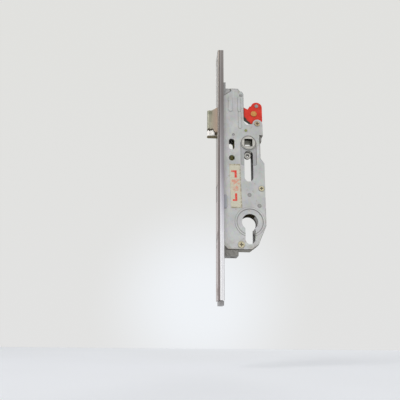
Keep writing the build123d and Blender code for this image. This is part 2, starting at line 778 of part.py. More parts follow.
def pillar(x, z, radius):
    """A post on the far plate that one of the cover's screws goes into."""
    hole = disc(x, z, SCREW_SHANK, inner_near, inner_near + SCREW_LENGTH)
    return disc(x, z, radius, inner_near, inner_far) - hole


def screw_tab():
    """A tab of the back wall that the side screw goes into."""
    right = CASE_BACK - PLATE
    low = SCREW_SIDE_Z - TAB_HEIGHT / 2
    tab = block(right - TAB_LENGTH, right, inner_near, inner_near + TAB_THICKNESS, low, low + TAB_HEIGHT)
    return tab - disc(SCREW_SIDE_X, SCREW_SIDE_Z, SCREW_SHANK, inner_near, inner_far)


def spring_seat():
    """A ledge from the back wall and the far plate, under the return spring."""
    low = spring_bottom - SPRING_SEAT_THICKNESS
    left = PLUNGER_X - PLUNGER_RADIUS
    return block(left, WAIST_BACK - PLATE, -PLUNGER_RADIUS, inner_far, low, spring_bottom)


def idler_window():
    """The opening in the back wall that the right idler's teeth turn in."""
    reach = pitch_radius(IDLER_TEETH) + MODULE + IDLER_WINDOW_GAP
    low = idler_z - reach
    high = idler_z + reach
    return block(IDLER_SIDE, CASE_BACK + OVERRUN, inner_near - OVERRUN, gear_far + SEAT_GAP, low, high)


def crimp():
    """A tab of the wall that is bent up beside the cover in the notch of its back edge."""
    low = spindle_z + CRIMP_LOW
    high = spindle_z + CRIMP_HIGH
    back = EDGE_NOTCH_BACK + CRIMP_REACH
    tab = block(EDGE_NOTCH_BACK - PLATE, back, inner_near, inner_far, low, high)
    return tab + block(EDGE_NOTCH_BACK + RUN_GAP, back, case_near - CRIMP_RISE, inner_near, low, high)


def guide_post():
    return disc(GUIDE_POST_X, GUIDE_POST_Z, GUIDE_POST_RADIUS, slider_near - SEAT_GAP, inner_far)


# Lugs that carry the case on the faceplate


def spigot(z):
    return bar_x(face_front, case_left, 0, z, LUG_SPIGOT_RADIUS)


def top_lug():
    low = case_top - LUG_HEIGHT + LUG_FIT
    right = case_left + LUG_DEPTH - LUG_FIT
    body = block(case_left, right, inner_near, inner_far - LUG_FIT, low, case_top)
    showing = corner_cut() & outline((case_left, low), (right, low), (right, case_top), (case_left, case_top))
    body += slab(showing, case_near + LUG_FACE_STEP, inner_near)
    half = LUG_TONGUE_HALF
    tongue = case_left + LUG_TONGUE_WIDTH
    body += block(case_left, tongue, -half, half, case_top, case_top + LUG_TONGUE_HEIGHT)
    return body + spigot(top_spigot_z)


def foot_lug():
    low = case_bottom
    high = case_bottom + FOOT_LUG_HEIGHT - LUG_FIT
    right = case_left + FOOT_LUG_DEPTH - LUG_FIT
    body = block(case_left, right, inner_near, inner_far - LUG_FIT, low, high)
    showing = foot_cut() & outline((case_left, low), (right, low), (right, high), (case_left, high))
    body += slab(showing, case_near + LUG_FACE_STEP, inner_near)
    return body + spigot(foot_spigot_z)


# Latch bolt


def latch_head():
    tip = face_front - LATCH_REACH
    back = tip + LATCH_HEAD_LENGTH
    half = LATCH_HALF_THICKNESS
    plan = outline(
        (back, -half),
        (face_front, -half),
        (face_front - LATCH_BEVEL_LENGTH, LATCH_NOSE_FACE),
        (tip, LATCH_NOSE_FACE),
        (tip, half),
        (back, half),
    )
    plan = fillet(plan.vertices().sort_by(Axis.X)[:2], LATCH_NOSE_ROUND)
    head = extrude(Plane.XY.offset(latch_low) * plan, amount=latch_high - latch_low)
    lip = outline(
        (-half - OVERRUN, latch_low - OVERRUN),
        (LATCH_LIP_DEPTH - half, latch_low - OVERRUN),
        (LATCH_LIP_DEPTH - half, latch_low),
        (-half, latch_low + LATCH_LIP_HEIGHT),
        (-half - OVERRUN, latch_low + LATCH_LIP_HEIGHT),
    )
    head -= extrude(Plane.YZ.offset(tip - OVERRUN) * lip, amount=LATCH_REACH + OVERRUN - LATCH_LIP_GAP)
    start = back - LATCH_TAIL_LAP
    far = LATCH_TAIL_NEAR + LATCH_TAIL_THICKNESS
    head -= block(start, back + OVERRUN, LATCH_TAIL_NEAR, far, latch_tail_low, latch_tail_high)
    head += bar_x(back, back + LATCH_SPIGOT_LENGTH, 0, latch_spring_z, LATCH_SPIGOT_RADIUS)
    return head


def latch_tail():
    start = face_front - LATCH_REACH + LATCH_HEAD_LENGTH - LATCH_TAIL_LAP
    far = LATCH_TAIL_NEAR + LATCH_TAIL_THICKNESS
    shoulder = FOLLOWER_NOSE_RADIUS + SEAT_GAP
    end = shoulder + LATCH_SHOULDER_THICKNESS
    tail = block(start, end, LATCH_TAIL_NEAR, far, latch_tail_low, latch_tail_high)
    return tail + block(shoulder, end, LATCH_ARM_NEAR, far, latch_tail_low, latch_tail_high)


def latch_guide():
    """A block on the far plate that the latch's tail slides through."""
    low = latch_tail_low - GUIDE_FIT
    high = latch_tail_high + GUIDE_FIT
    near = LATCH_TAIL_NEAR - GUIDE_FIT
    far = LATCH_TAIL_NEAR + LATCH_TAIL_THICKNESS + GUIDE_FIT
    end = GUIDE_NEAR_X + GUIDE_LENGTH
    body = block(GUIDE_NEAR_X, end, near - GUIDE_WALL / 2, inner_far, low - GUIDE_WALL, high + GUIDE_WALL)
    return body - block(GUIDE_NEAR_X - OVERRUN, end + OVERRUN, near, far, low, high)


def coil(radius, wire, turns, length):
    """An upright compression spring from zero to its length, wire ends included."""
    height = length - wire
    path = Helix(pitch=height / turns, height=height, radius=radius - wire / 2)
    section = Plane(origin=path @ 0, z_dir=path % 0) * Circle(wire / 2)
    return Pos(0, 0, wire / 2) * sweep(section, path=path, is_frenet=True)


def latch_spring():
    start = face_front - LATCH_REACH + LATCH_HEAD_LENGTH + SEAT_GAP
    end = SHOULDER_DEPTH - PLATE - SEAT_GAP
    spring = coil(LATCH_SPRING_RADIUS, LATCH_SPRING_WIRE, LATCH_SPRING_TURNS, end - start)
    return Pos(start, 0, latch_spring_z) * Rot(0, 90, 0) * spring


# Dead bolt


def dead_bolt():
    front = face_front + BOLT_FACE_INSET
    back = front + BOLT_HEAD_LENGTH
    head = block(front, back, -BOLT_HALF_THICKNESS, BOLT_HALF_THICKNESS, BOLT_LOW, BOLT_HIGH)
    head = chamfer(head.faces().sort_by(Axis.X)[0].edges(), BOLT_CORNER / 2)
    return head - bolt_tail()


def bolt_tail():
    front = face_front + BOLT_FACE_INSET
    start = front + BOLT_HEAD_LENGTH - BOLT_TAIL_LAP
    pitch_z = drive_z + bolt_pinion_radius
    root_z = pitch_z + DEDENDUM_SHARE * MODULE
    plate = block(start, BOLT_TAIL_BACK, bolt_near, bolt_far, root_z, BOLT_HIGH)
    offset_x = rack_offset(BOLT_PINION_TEETH, pinion_phase, up_angle)
    points = [(x, pitch_z - high) for x, high in rack_teeth(-slider_pinion_radius, BOLT_TAIL_BACK, offset_x)]
    rack = outline((points[0][0], root_z + PLATE), *points, (points[-1][0], root_z + PLATE))
    return plate + slab(rack, bolt_near, bolt_far)


# Gear train


def cylinder_gear():
    bore = CYLINDER_RADIUS + CYLINDER_COLLAR + RUN_GAP
    gap = Pos(0, -CYLINDER_GAP_REACH / 2) * Rectangle(CYLINDER_SLOT_WIDTH, CYLINDER_GAP_REACH)
    teeth = gear_outline(CYLINDER_TEETH, cylinder_phase) - Circle(bore) - gap
    hub = Circle(bore + CYLINDER_HUB_WALL) - Circle(bore) - gap
    return slab(teeth, gear_near, gear_far) + slab(hub, gear_far, slider_near - SEAT_GAP)


def idler(mirrored):
    phase = 180 - idler_phase if mirrored else idler_phase
    pinion = 180 - idler_pinion_phase if mirrored else idler_pinion_phase
    side = -1 if mirrored else 1
    wheel = gear_outline(IDLER_TEETH, phase) - Circle(AXLE_RADIUS + RUN_GAP)
    small = gear_outline(IDLER_PINION_TEETH, pinion) - Circle(AXLE_RADIUS + RUN_GAP)
    gear = slab(wheel, gear_near, gear_far) + slab(small, gear_far, wheel_far)
    return Pos(side * IDLER_SIDE, 0, idler_z) * gear


def drive_gear():
    bore = Circle(AXLE_RADIUS + RUN_GAP)
    wheel = slab(gear_outline(DRIVE_TEETH, drive_phase) - bore, wheel_near, wheel_far)
    bolt_pinion = slab(gear_outline(BOLT_PINION_TEETH, pinion_phase) - bore, wheel_far, bolt_far)
    slider_pinion = slab(gear_outline(SLIDER_PINION_TEETH, pinion_phase) - bore, bolt_far, slider_far)
    return Pos(0, 0, drive_z) * (wheel + bolt_pinion + slider_pinion)


def axles():
    return [disc(x, z, AXLE_RADIUS, case_near, case_far) for x, z in axle_places()]


# Slider and bracket


def slider_outline():
    side = AXLE_RADIUS + GUIDE_SIDE_GAP
    pitch_x = -slider_pinion_radius
    root_x = pitch_x - DEDENDUM_SHARE * MODULE
    foot = case_bottom - SLIDER_FOOT
    plate = outline(
        (SPINE_LEFT, foot),
        (SPINE_RIGHT, foot),
        (SPINE_RIGHT, SLIDER_WIDE_BOTTOM),
        (root_x, SLIDER_WIDE_BOTTOM),
        (root_x, SLIDER_RACK_TOP),
        (SLIDER_NECK_RIGHT, SLIDER_RACK_TOP),
        (SLIDER_NECK_RIGHT, SLIDER_TOP),
        (SLIDER_NECK_LEFT, SLIDER_TOP),
        (SLIDER_NECK_LEFT, SLIDER_NECK_START),
        (SPINE_LEFT, SLIDER_NECK_START),
        (SPINE_LEFT, BOLT_HIGH + slider_travel + SEAT_GAP),
        (SPINE_WAIST, BOLT_HIGH + slider_travel + SEAT_GAP),
        (SPINE_WAIST, SPINE_WAIST_START),
        (SPINE_LEFT, SPINE_WAIST_START),
    )
    offset_z = rack_offset(SLIDER_PINION_TEETH, pinion_phase, 2 * up_angle)
    teeth = rack_teeth(SLIDER_WIDE_BOTTOM - drive_z, SLIDER_RACK_TOP - drive_z, offset_z)
    points = [(pitch_x + high, drive_z + z) for z, high in teeth]
    rack = outline((root_x - PLATE, points[0][1]), *points, (root_x - PLATE, points[-1][1]))
    axle_slot = capsule(-IDLER_SIDE, idler_z + slider_travel + side, 2 * side, slider_travel + 2 * side)
    side = GUIDE_POST_RADIUS + GUIDE_SIDE_GAP
    post_slot = capsule(GUIDE_POST_X, GUIDE_POST_Z + slider_travel + side, 2 * side, slider_travel + 2 * side)
    return plate + rack - axle_slot - post_slot


def drive_slider():
    return slab(slider_outline(), slider_near, slider_far)


def drive_bracket():
    top = case_bottom - SEAT_GAP
    low = top - BRACKET_HEIGHT
    body = block(rail_back, BRACKET_RIGHT, -BRACKET_HALF_WIDTH, BRACKET_HALF_WIDTH, low, top)
    right_edges = body.faces().sort_by(Axis.X)[-1].edges()
    body = chamfer(right_edges, BRACKET_CHAMFER / 2)
    middle = (SPINE_LEFT + SPINE_RIGHT) / 2
    start = middle - BRACKET_SLOT_LENGTH
    depth = BRACKET_SLOT_DEPTH
    return body - block(start, middle, -depth, depth, low - OVERRUN, low + depth) - drive_slider()


# Follower, plunger and return spring


def follower():
    centre = Pos(0, spindle_z)
    hub = Circle(FOLLOWER_HUB_RADIUS)
    step = Pos(FOLLOWER_STEP_START, -PLUNGER_DROP) * Rectangle(
        FOLLOWER_HUB_RADIUS, FOLLOWER_HUB_RADIUS, align=(Align.MIN, Align.MAX)
    )
    hub = hub - step + Circle(FOLLOWER_RELIEF_RADIUS)
    body = slab(centre * hub, inner_near + SEAT_GAP, inner_far - SEAT_GAP)
    boss = case_near - FOLLOWER_BOSS_RISE
    body += disc(0, spindle_z, FOLLOWER_BOSS_RADIUS, boss, -boss)
    arm_length = FOLLOWER_ARM_RADIUS - FOLLOWER_RELIEF_RADIUS
    arm = Rectangle(2 * FOLLOWER_NOSE_RADIUS, arm_length, align=(Align.CENTER, Align.MIN))
    arm = Pos(0, FOLLOWER_RELIEF_RADIUS) * arm + Pos(0, FOLLOWER_ARM_RADIUS) * Circle(FOLLOWER_NOSE_RADIUS)
    body += slab(centre * arm, LATCH_ARM_NEAR, LATCH_TAIL_NEAR - LATCH_ARM_GAP)
    eye = Pos(FOLLOWER_TAIL_SIDE, -FOLLOWER_TAIL_DROP)
    stem = Rectangle(2 * FOLLOWER_TAIL_RADIUS, FOLLOWER_TAIL_DROP)
    tail = eye * Circle(FOLLOWER_TAIL_RADIUS) + Pos(FOLLOWER_TAIL_SIDE / 2, -FOLLOWER_TAIL_DROP / 2) * stem
    tail = tail - eye * Circle(FOLLOWER_EYE_RADIUS) - Circle(FOLLOWER_BOSS_RADIUS)
    near = inner_near + SEAT_GAP
    body += slab(centre * tail, near, near + FOLLOWER_TAIL_THICKNESS)
    square = Rectangle(SPINDLE_SQUARE, SPINDLE_SQUARE)
    body -= slab(centre * square, boss - OVERRUN, OVERRUN - boss)
    mouth = SPINDLE_SQUARE + 2 * SPINDLE_MOUTH
    for y, way in ((boss, 1), (-boss, -1)):
        wide = Plane(origin=(0, y, spindle_z), z_dir=(0, way, 0)) * Rectangle(mouth, mouth)
        narrow = Plane(origin=(0, y + way * SPINDLE_MOUTH, spindle_z), z_dir=(0, way, 0)) * square
        body -= loft([wide, narrow])
    return body


def return_plunger():
    top = spindle_z - PLUNGER_DROP - SEAT_GAP
    hung = (Align.CENTER, Align.CENTER, Align.MAX)
    return Pos(PLUNGER_X, 0, top) * Cylinder(PLUNGER_RADIUS, PLUNGER_THICKNESS, align=hung)


def return_spring():
    length = RETURN_SPRING_LENGTH - 2 * RUN_GAP
    spring = coil(PLUNGER_RADIUS, RETURN_SPRING_WIRE, RETURN_SPRING_TURNS, length)
    return Pos(PLUNGER_X, 0, spring_bottom + RUN_GAP) * spring


# Red lever


def lever_layers():
    near = inner_near + LEVER_NEAR_GAP
    return near, near + LEVER_THICKNESS


def red_lever():
    z = spindle_z
    top = Pos(LEVER_TOP_X, z + LEVER_TOP_ABOVE) * Circle(LEVER_TOP_RADIUS)
    foot = Pos(LEVER_PIVOT_X, z + LEVER_PIVOT_ABOVE) * Circle(LEVER_FOOT_RADIUS)
    body = outline(
        (LEVER_LEFT_X, z + LEVER_LEFT_ABOVE),
        (LEVER_TIP_X, z + LEVER_TIP_LOW_ABOVE),
        (LEVER_TIP_X, z + LEVER_TIP_ABOVE),
        (LEVER_SADDLE_X, z + LEVER_SADDLE_ABOVE),
        (LEVER_RISE_X, z + LEVER_RISE_ABOVE),
        (LEVER_TOP_X, z + LEVER_TOP_ABOVE),
        (LEVER_TOP_X + LEVER_TOP_RADIUS, z + LEVER_TOP_ABOVE),
        (LEVER_TOP_X + LEVER_TOP_RADIUS, z + LEVER_LEFT_ABOVE),
        (LEVER_PIVOT_X + LEVER_FOOT_RADIUS, z + LEVER_PIVOT_ABOVE),
        (LEVER_PIVOT_X, z + LEVER_PIVOT_ABOVE),
        (LEVER_HEEL_X, z + LEVER_HEEL_ABOVE),
    )
    plate = body + top + foot - Pos(LEVER_PIVOT_X, z + LEVER_PIVOT_ABOVE) * Circle(PILLAR_RADIUS + RUN_GAP)
    plate -= Pos(LEVER_RIVET_X, z + LEVER_RIVET_ABOVE) * Circle(LEVER_RIVET_SHANK)
    plate -= Pos(LEVER_STUD_X, z + LEVER_STUD_ABOVE) * Circle(LEVER_STUD_SHANK)
    return slab(plate, *lever_layers())


def headed_pin(x, z, head, shank, rise):
    """A rivet through the lever, with a head on the near side and one on the far side."""
    near, far = lever_layers()
    pin = disc(x, z, shank, near, far)
    for start, end in ((near - rise, near), (far, far + rise)):
        pin += disc(x, z, head, start, end)
    return pin


def lever_rivet():
    z = spindle_z + LEVER_RIVET_ABOVE
    return headed_pin(LEVER_RIVET_X, z, LEVER_RIVET_RADIUS, LEVER_RIVET_SHANK, LEVER_RIVET_RISE)


def lever_stud():
    z = spindle_z + LEVER_STUD_ABOVE
    return headed_pin(LEVER_STUD_X, z, LEVER_STUD_RADIUS, LEVER_STUD_SHANK, LEVER_STUD_RISE)


# Screws, pins, rivet and label


def cover_screw(place, head, length):
    x, z = place
    cap = disc(x, z, head, case_near - SCREW_HEAD_RISE, case_near)
    cap = fillet(cap.edges().filter_by(GeomType.CIRCLE).sort_by(Axis.Y)[0], SCREW_HEAD_RISE / 2)
    cross = Rectangle(head * CROSS_SPAN_SHARE, CROSS_WIDTH) + Rectangle(CROSS_WIDTH, head * CROSS_SPAN_SHARE)
    near = case_near - SCREW_HEAD_RISE
    cap -= slab(Pos(x, z) * cross, near - OVERRUN, near + CROSS_DEPTH)
    return cap + disc(x, z, SCREW_SHANK, case_near, case_near + length)


def cylinder_screw():
    """A countersunk screw through the faceplate into the cylinder."""
    z = cylinder_screw_z
    sunk = face_front + CYLINDER_SCREW_SINK
    front = Plane(origin=(face_front, 0, z), z_dir=(1, 0, 0))
    neck = Plane(origin=(sunk, 0, z), z_dir=(1, 0, 0))
    end = -CYLINDER_SLOT_WIDTH / 2 - OVERRUN
    cross = Rectangle(CYLINDER_SCREW_HEAD, CROSS_WIDTH) + Rectangle(CROSS_WIDTH, CYLINDER_SCREW_HEAD)
    screw = loft([front * Circle(CYLINDER_SCREW_HEAD), neck * Circle(CYLINDER_SCREW_RADIUS)])
    screw += bar_x(sunk, end, 0, z, CYLINDER_SCREW_RADIUS)
    return screw - extrude(front * cross, amount=CROSS_DEPTH)


def tie_rivet():
    return disc(TIE_X, spindle_z + TIE_ABOVE, TIE_RADIUS, case_near - PIN_RISE, case_far + PIN_RISE)


def cover_pin():
    return disc(PIN_X, spindle_z + PIN_ABOVE, PIN_RADIUS, case_near - PIN_RISE, case_near + PIN_LENGTH)


def label():
    sheet = Pos(LABEL_X, LABEL_Z) * Rot(0, 0, LABEL_TILT) * Rectangle(LABEL_WIDTH, LABEL_HEIGHT)
    return slab(sheet, case_near - LABEL_THICKNESS, case_near)


top_screw, side_screw, foot_screw = screw_places()
write("faceplate", faceplate())
write("drive_rail", drive_rail())
write("case_cover", case_cover())
write("case_tray", case_tray())
write("top_lug", top_lug())
write("foot_lug", foot_lug())
write("latch_head", latch_head())
write("latch_tail", latch_tail())
write("latch_guide", latch_guide())
write("latch_spring", latch_spring())
write("dead_bolt", dead_bolt())
write("bolt_tail", bolt_tail())
write("cylinder_gear", cylinder_gear())
write("right_idler_gear", idler(False))
write("left_idler_gear", idler(True))
write("drive_gear", drive_gear())
write("gear_axles", Compound(children=axles()))
write("drive_slider", drive_slider())
write("drive_bracket", drive_bracket())
write("spindle_follower", follower())
write("return_plunger", return_plunger())
write("return_spring", return_spring())
write("red_lever", red_lever())
write("lever_rivet", lever_rivet())
write("lever_stud", lever_stud())
write("lever_screw", cover_screw(top_screw, SCREW_TOP_HEAD, SCREW_LENGTH))
write("side_screw", cover_screw(side_screw, SCREW_SIDE_HEAD, SCREW_SHORT_LENGTH))
write("foot_screw", cover_screw(foot_screw, SCREW_FOOT_HEAD, SCREW_LENGTH))
write("cylinder_screw", cylinder_screw())
write("tie_rivet", tie_rivet())
write("cover_pin", cover_pin())
write("label", label())
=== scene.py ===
import bpy
import math
from mathutils import Matrix, Vector


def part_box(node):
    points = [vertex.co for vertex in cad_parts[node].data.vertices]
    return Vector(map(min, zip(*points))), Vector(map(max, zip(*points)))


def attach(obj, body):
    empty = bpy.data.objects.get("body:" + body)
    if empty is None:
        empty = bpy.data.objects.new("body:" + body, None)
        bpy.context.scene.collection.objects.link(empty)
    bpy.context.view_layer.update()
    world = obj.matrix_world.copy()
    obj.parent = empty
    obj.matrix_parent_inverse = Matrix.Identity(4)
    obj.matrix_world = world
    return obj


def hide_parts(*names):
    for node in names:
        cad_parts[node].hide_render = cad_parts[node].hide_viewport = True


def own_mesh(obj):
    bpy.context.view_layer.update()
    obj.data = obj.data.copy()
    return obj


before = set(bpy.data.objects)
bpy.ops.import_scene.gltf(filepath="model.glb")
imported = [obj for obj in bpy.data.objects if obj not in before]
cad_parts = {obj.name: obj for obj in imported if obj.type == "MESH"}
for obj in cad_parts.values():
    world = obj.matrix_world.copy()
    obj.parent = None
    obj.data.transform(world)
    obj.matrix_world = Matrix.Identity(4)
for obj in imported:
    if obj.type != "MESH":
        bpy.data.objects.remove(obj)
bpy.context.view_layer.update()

# Looks, springs, stage and camera of the multipoint door lock. All lengths are metres. The origin is the
# centre of the cylinder hole, X goes from the strip into the door, -Y to the cover, and Z up.

# Spans of a noise's values, over which one tone turns into the other
WIDE = (0.3, 0.7)
NARROW = (0.32, 0.68)

# Stretch of a pattern that is alike along every axis
EVEN = (1, 1, 1)

# Heights of a face's normal, between which it comes to count as looking down
DOWNWARD = (-0.25, -0.55)

NOISE_ROUGHNESS = 0.55
STROKE_CORE_SHARE = 0.6
HOLLOW_SAMPLES = 8

# Cylinder hole: its centre, its wall as radii and softness, and the shade on the wall above a slanting line
CYLINDER = (0.0, 0.0)
COVER_FACE_Y = -0.008
BORE_WALL = (0.0080, 0.0097, 0.0001)
BORE_SLANT = 0.8
BORE_SHADE_RISE = (0.0005, 0.0025)
BORE_MOUTH_Y = (COVER_FACE_Y + 0.00001, COVER_FACE_Y + 0.0001)


class Look:
    """One material. Its base colour is laid layer by layer, by masks that are one where a layer shows.

    Every pattern reads object coordinates, which are the frame's metres.
    """

    def __init__(self, name, metallic, roughness):
        self.material = bpy.data.materials.new(name)
        self.material.use_nodes = True
        self.nodes = self.material.node_tree.nodes
        self.links = self.material.node_tree.links
        self.shader = self.nodes["Principled BSDF"]
        self.shader.inputs["Metallic"].default_value = metallic
        self.shader.inputs["Roughness"].default_value = roughness
        self.place = self.nodes.new("ShaderNodeTexCoord").outputs["Object"]
        self.base = None

    def link(self, value, socket):
        """Links a node's output to a socket, or sets the socket where value is a constant."""
        if hasattr(value, "links"):
            self.links.new(value, socket)
        else:
            socket.default_value = value

    # Patterns and masks

    def stretched(self, scale):
        node = self.nodes.new("ShaderNodeMapping")
        node.inputs["Scale"].default_value = scale
        self.links.new(self.place, node.inputs["Vector"])
        return node.outputs["Vector"]

    def noise(self, scale, stretch=EVEN, detail=3.0):
        node = self.nodes.new("ShaderNodeTexNoise")
        node.inputs["Scale"].default_value = scale
        node.inputs["Detail"].default_value = detail
        node.inputs["Roughness"].default_value = NOISE_ROUGHNESS
        self.links.new(self.stretched(stretch), node.inputs["Vector"])
        return node.outputs["Fac"]

    def cells(self, scale, stretch):
        node = self.nodes.new("ShaderNodeTexVoronoi")
        node.inputs["Scale"].default_value = scale
        self.links.new(self.stretched(stretch), node.inputs["Vector"])
        return node.outputs["Color"]

    def axis(self, name):
        node = self.nodes.new("ShaderNodeSeparateXYZ")
        self.links.new(self.place, node.inputs[0])
        return node.outputs[name]

    def math(self, operation, first, second=0.0, clamp=False):
        node = self.nodes.new("ShaderNodeMath")
        node.operation = operation
        node.use_clamp = clamp
        self.link(first, node.inputs[0])
        self.link(second, node.inputs[1])
        return node.outputs[0]

    def both(self, first, *others):
        """The product of masks and shares."""
        for other in others:
            first = self.math("MULTIPLY", first, other)
        return first

    def level(self, value, low, high, out_low=0.0, out_high=1.0):
        """From out_low where value is low to out_high where it is high."""
        node = self.nodes.new("ShaderNodeMapRange")
        self.links.new(value, node.inputs["Value"])
        ends = {"From Min": low, "From Max": high, "To Min": out_low, "To Max": out_high}
        for name, number in ends.items():
            node.inputs[name].default_value = number
        return node.outputs["Result"]

    def patches(self, scale, low, high, most=1.0, least=0.0, stretch=EVEN, detail=3.0):
        """Scattered patches: least where the noise is under low, and most where it is over high."""
        return self.level(self.noise(scale, stretch, detail), low, high, least, most)

    def ragged(self, scale, reach):
        """An uneven shift of an edge, up to reach to either side."""
        return self.patches(scale, *WIDE, reach, -reach, detail=2)

    def band(self, value, low, high, soft):
        """One between low and high, zero outside, with soft edges."""
        rise = self.level(value, low - soft, low + soft)
        fall = self.level(value, high - soft, high + soft, 1.0, 0.0)
        return self.both(rise, fall)

    def field(self, x, x_band, z, z_band):
        """One on a rectangle, zero off it. Each band is from, to and the softness of its edges."""
        return self.both(self.band(x, *x_band), self.band(z, *z_band))

    def reach(self, side, rise):
        """The distance from a point of the case's face, given both of its parts."""
        squares = self.math("ADD", self.both(side, side), self.both(rise, rise))
        return self.math("SQRT", squares)

    def stroke(self, start, end, width):
        """One on a straight line between two points of the case's face, zero off it."""
        run, climb = end[0] - start[0], end[1] - start[1]
        side = self.math("SUBTRACT", self.axis("X"), start[0])
        rise = self.math("SUBTRACT", self.axis("Z"), start[1])
        along = self.math("ADD", self.both(side, run), self.both(rise, climb))
        along = self.math("DIVIDE", along, run * run + climb * climb, clamp=True)
        side = self.math("SUBTRACT", side, self.both(along, run))
        rise = self.math("SUBTRACT", rise, self.both(along, climb))
        return self.level(self.reach(side, rise), width * STROKE_CORE_SHARE, width, 1.0, 0.0)

    def ring(self, centre, inner, outer, soft):
        """One on a ring round a point of the case's face, zero off it."""
        side = self.math("SUBTRACT", self.axis("X"), centre[0])
        rise = self.math("SUBTRACT", self.axis("Z"), centre[1])
        return self.band(self.reach(side, rise), inner, outer, soft)

    def under(self):
        """One on faces that look down, zero on upright ones, for painted shade on undersides."""
        node = self.nodes.new("ShaderNodeNewGeometry")
        parts = self.nodes.new("ShaderNodeSeparateXYZ")
        self.links.new(node.outputs["Normal"], parts.inputs[0])
        return self.level(parts.outputs["Z"], *DOWNWARD)

    def bore_shade(self):
        """One on the upper left of the cylinder hole's wall, zero elsewhere and on the cover's face."""
        slant = self.math("SUBTRACT", self.axis("Z"), self.both(self.axis("X"), BORE_SLANT))
        wall = self.both(self.ring(CYLINDER, *BORE_WALL), self.level(slant, *BORE_SHADE_RISE))
        return self.both(wall, self.level(self.axis("Y"), *BORE_MOUTH_Y))

    def hollow(self, distance, low, high):
        """One in corners and hollows that are closed in within a distance, zero on open faces, for painted
        shade.
        """
        node = self.nodes.new("ShaderNodeAmbientOcclusion")
        node.samples = HOLLOW_SAMPLES
        node.inputs["Distance"].default_value = distance
        return self.level(node.outputs["AO"], low, high, 1.0, 0.0)

    # Colours

    def ramp(self, value, *stops):
        """A colour ramp from (place, colour) stops."""
        node = self.nodes.new("ShaderNodeValToRGB")
        elements = node.color_ramp.elements
        while len(elements) < len(stops):
            elements.new(0.5)
        for element, (place, colour) in zip(elements, stops):
            element.position = place
            element.color = (*colour, 1)
        self.links.new(value, node.inputs["Fac"])
        return node.outputs["Color"]

    def tones(self, cloud, span, dark, pale):
        """Two tones in clouds, over a span of the noise's values."""
        return self.ramp(cloud, (span[0], dark), (span[1], pale))

    def mix(self, share, first, second, kind="MIX"):
        node = self.nodes.new("ShaderNodeMix")
        node.data_type = "RGBA"
        node.blend_type = kind
        self.link(share, node.inputs["Factor"])
        for value, socket in ((first, node.inputs["A"]), (second, node.inputs["B"])):
            self.link(value if hasattr(value, "links") else (*value, 1), socket)
        return node.outputs["Result"]

    def lay(self, share, colour, kind="MIX"):
        """Lays a colour over the base, as far as share says."""
        self.base = self.mix(share, self.base, colour, kind)

    # Finish

    def rough(self, cloud, low, high):
        self.links.new(self.level(cloud, *WIDE, low, high), self.shader.inputs["Roughness"])

    def dull(self, share):
        """No shine where share is one, so that painted shade stays dark, as in the cylinder hole seen at a
        shallow angle.
        """
        for name in ("Metallic", "Specular IOR Level"):
            socket = self.shader.inputs[name]
            self.links.new(self.level(share, 0, 1, socket.default_value, 0), socket)

    def bump(self, value, height, strength):
        node = self.nodes.new("ShaderNodeBump")
        node.inputs["Distance"].default_value = height
        node.inputs["Strength"].default_value = strength
        self.links.new(value, node.inputs["Height"])
        self.links.new(node.outputs["Normal"], self.shader.inputs["Normal"])

    def put(self, *nodes):
        """Takes the base as the colour, and puts the material on CAD nodes."""
        self.links.new(self.base, self.shader.inputs["Base Color"])
        for node in nodes:
            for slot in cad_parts[node].material_slots:
                slot.material = self.material
        return self


# Case: the cover and the tray

SPINDLE = (0.0, 0.092)
AXLE_ENDS = ((0.0106, 0.0181), (0.0, 0.0301))
PALER_FOOT_Z = (0.03, -0.02)
GRIME_Z = (-0.012, -0.030)
RECESS_Y = (COVER_FACE_Y + 0.0001, COVER_FACE_Y + 0.0005)
INNER_Y = (COVER_FACE_Y + 0.0007, COVER_FACE_Y + 0.0011)
TRAY_RIM_SHADE_Y = (-0.0035, -0.0050)
COVER_CLOSED = 0.0012
TRAY_CLOSED = 0.006

# Rings of painted shade round a centre: from, to and softness
AXLE_LINE = (0.0015, 0.0021, 0.00025)
SPINDLE_LINE = (0.0074, 0.0082, 0.0002)
CYLINDER_LINE = (0.0139, 0.0146, 0.0003)

# Bands of painted shade on the boss and beside the cylinder slot: from, to and softness
BOSS_X = (-0.0290, -0.0252, 0.0003)
BOSS_Z = (0.0145, 0.0295, 0.0006)
SLOT_SIDE_X = (0.0052, 0.0058, 0.0003)
SLOT_SIDE_Z = (-0.0215, -0.0085, 0.001)

# Lines of X, Z points along the edges of the case and its pressings, where painted shade lines are drawn
EDGE_SHADE_WIDTH = 0.0007
CASE_EDGES = (
    ((0.0132, 0.1015), (0.0132, 0.0735), (0.0176, 0.0672)),
    (
        (0.0177, 0.0150), (0.0177, -0.0035), (0.0161, -0.0075),
        (0.0091, -0.0246), (0.0016, -0.0301), (-0.0240, -0.0301),
    ),
    (
        (-0.0190, 0.1598), (-0.0110, 0.1598), (-0.0088, 0.1565),
        (-0.0066, 0.1565), (-0.0046, 0.1530), (-0.0046, 0.1215),
    ),
    ((-0.0206, 0.1598), (-0.0192, 0.1569), (-0.0294, 0.1496)),
    ((-0.0294, -0.0250), (-0.0241, -0.0301)),
)


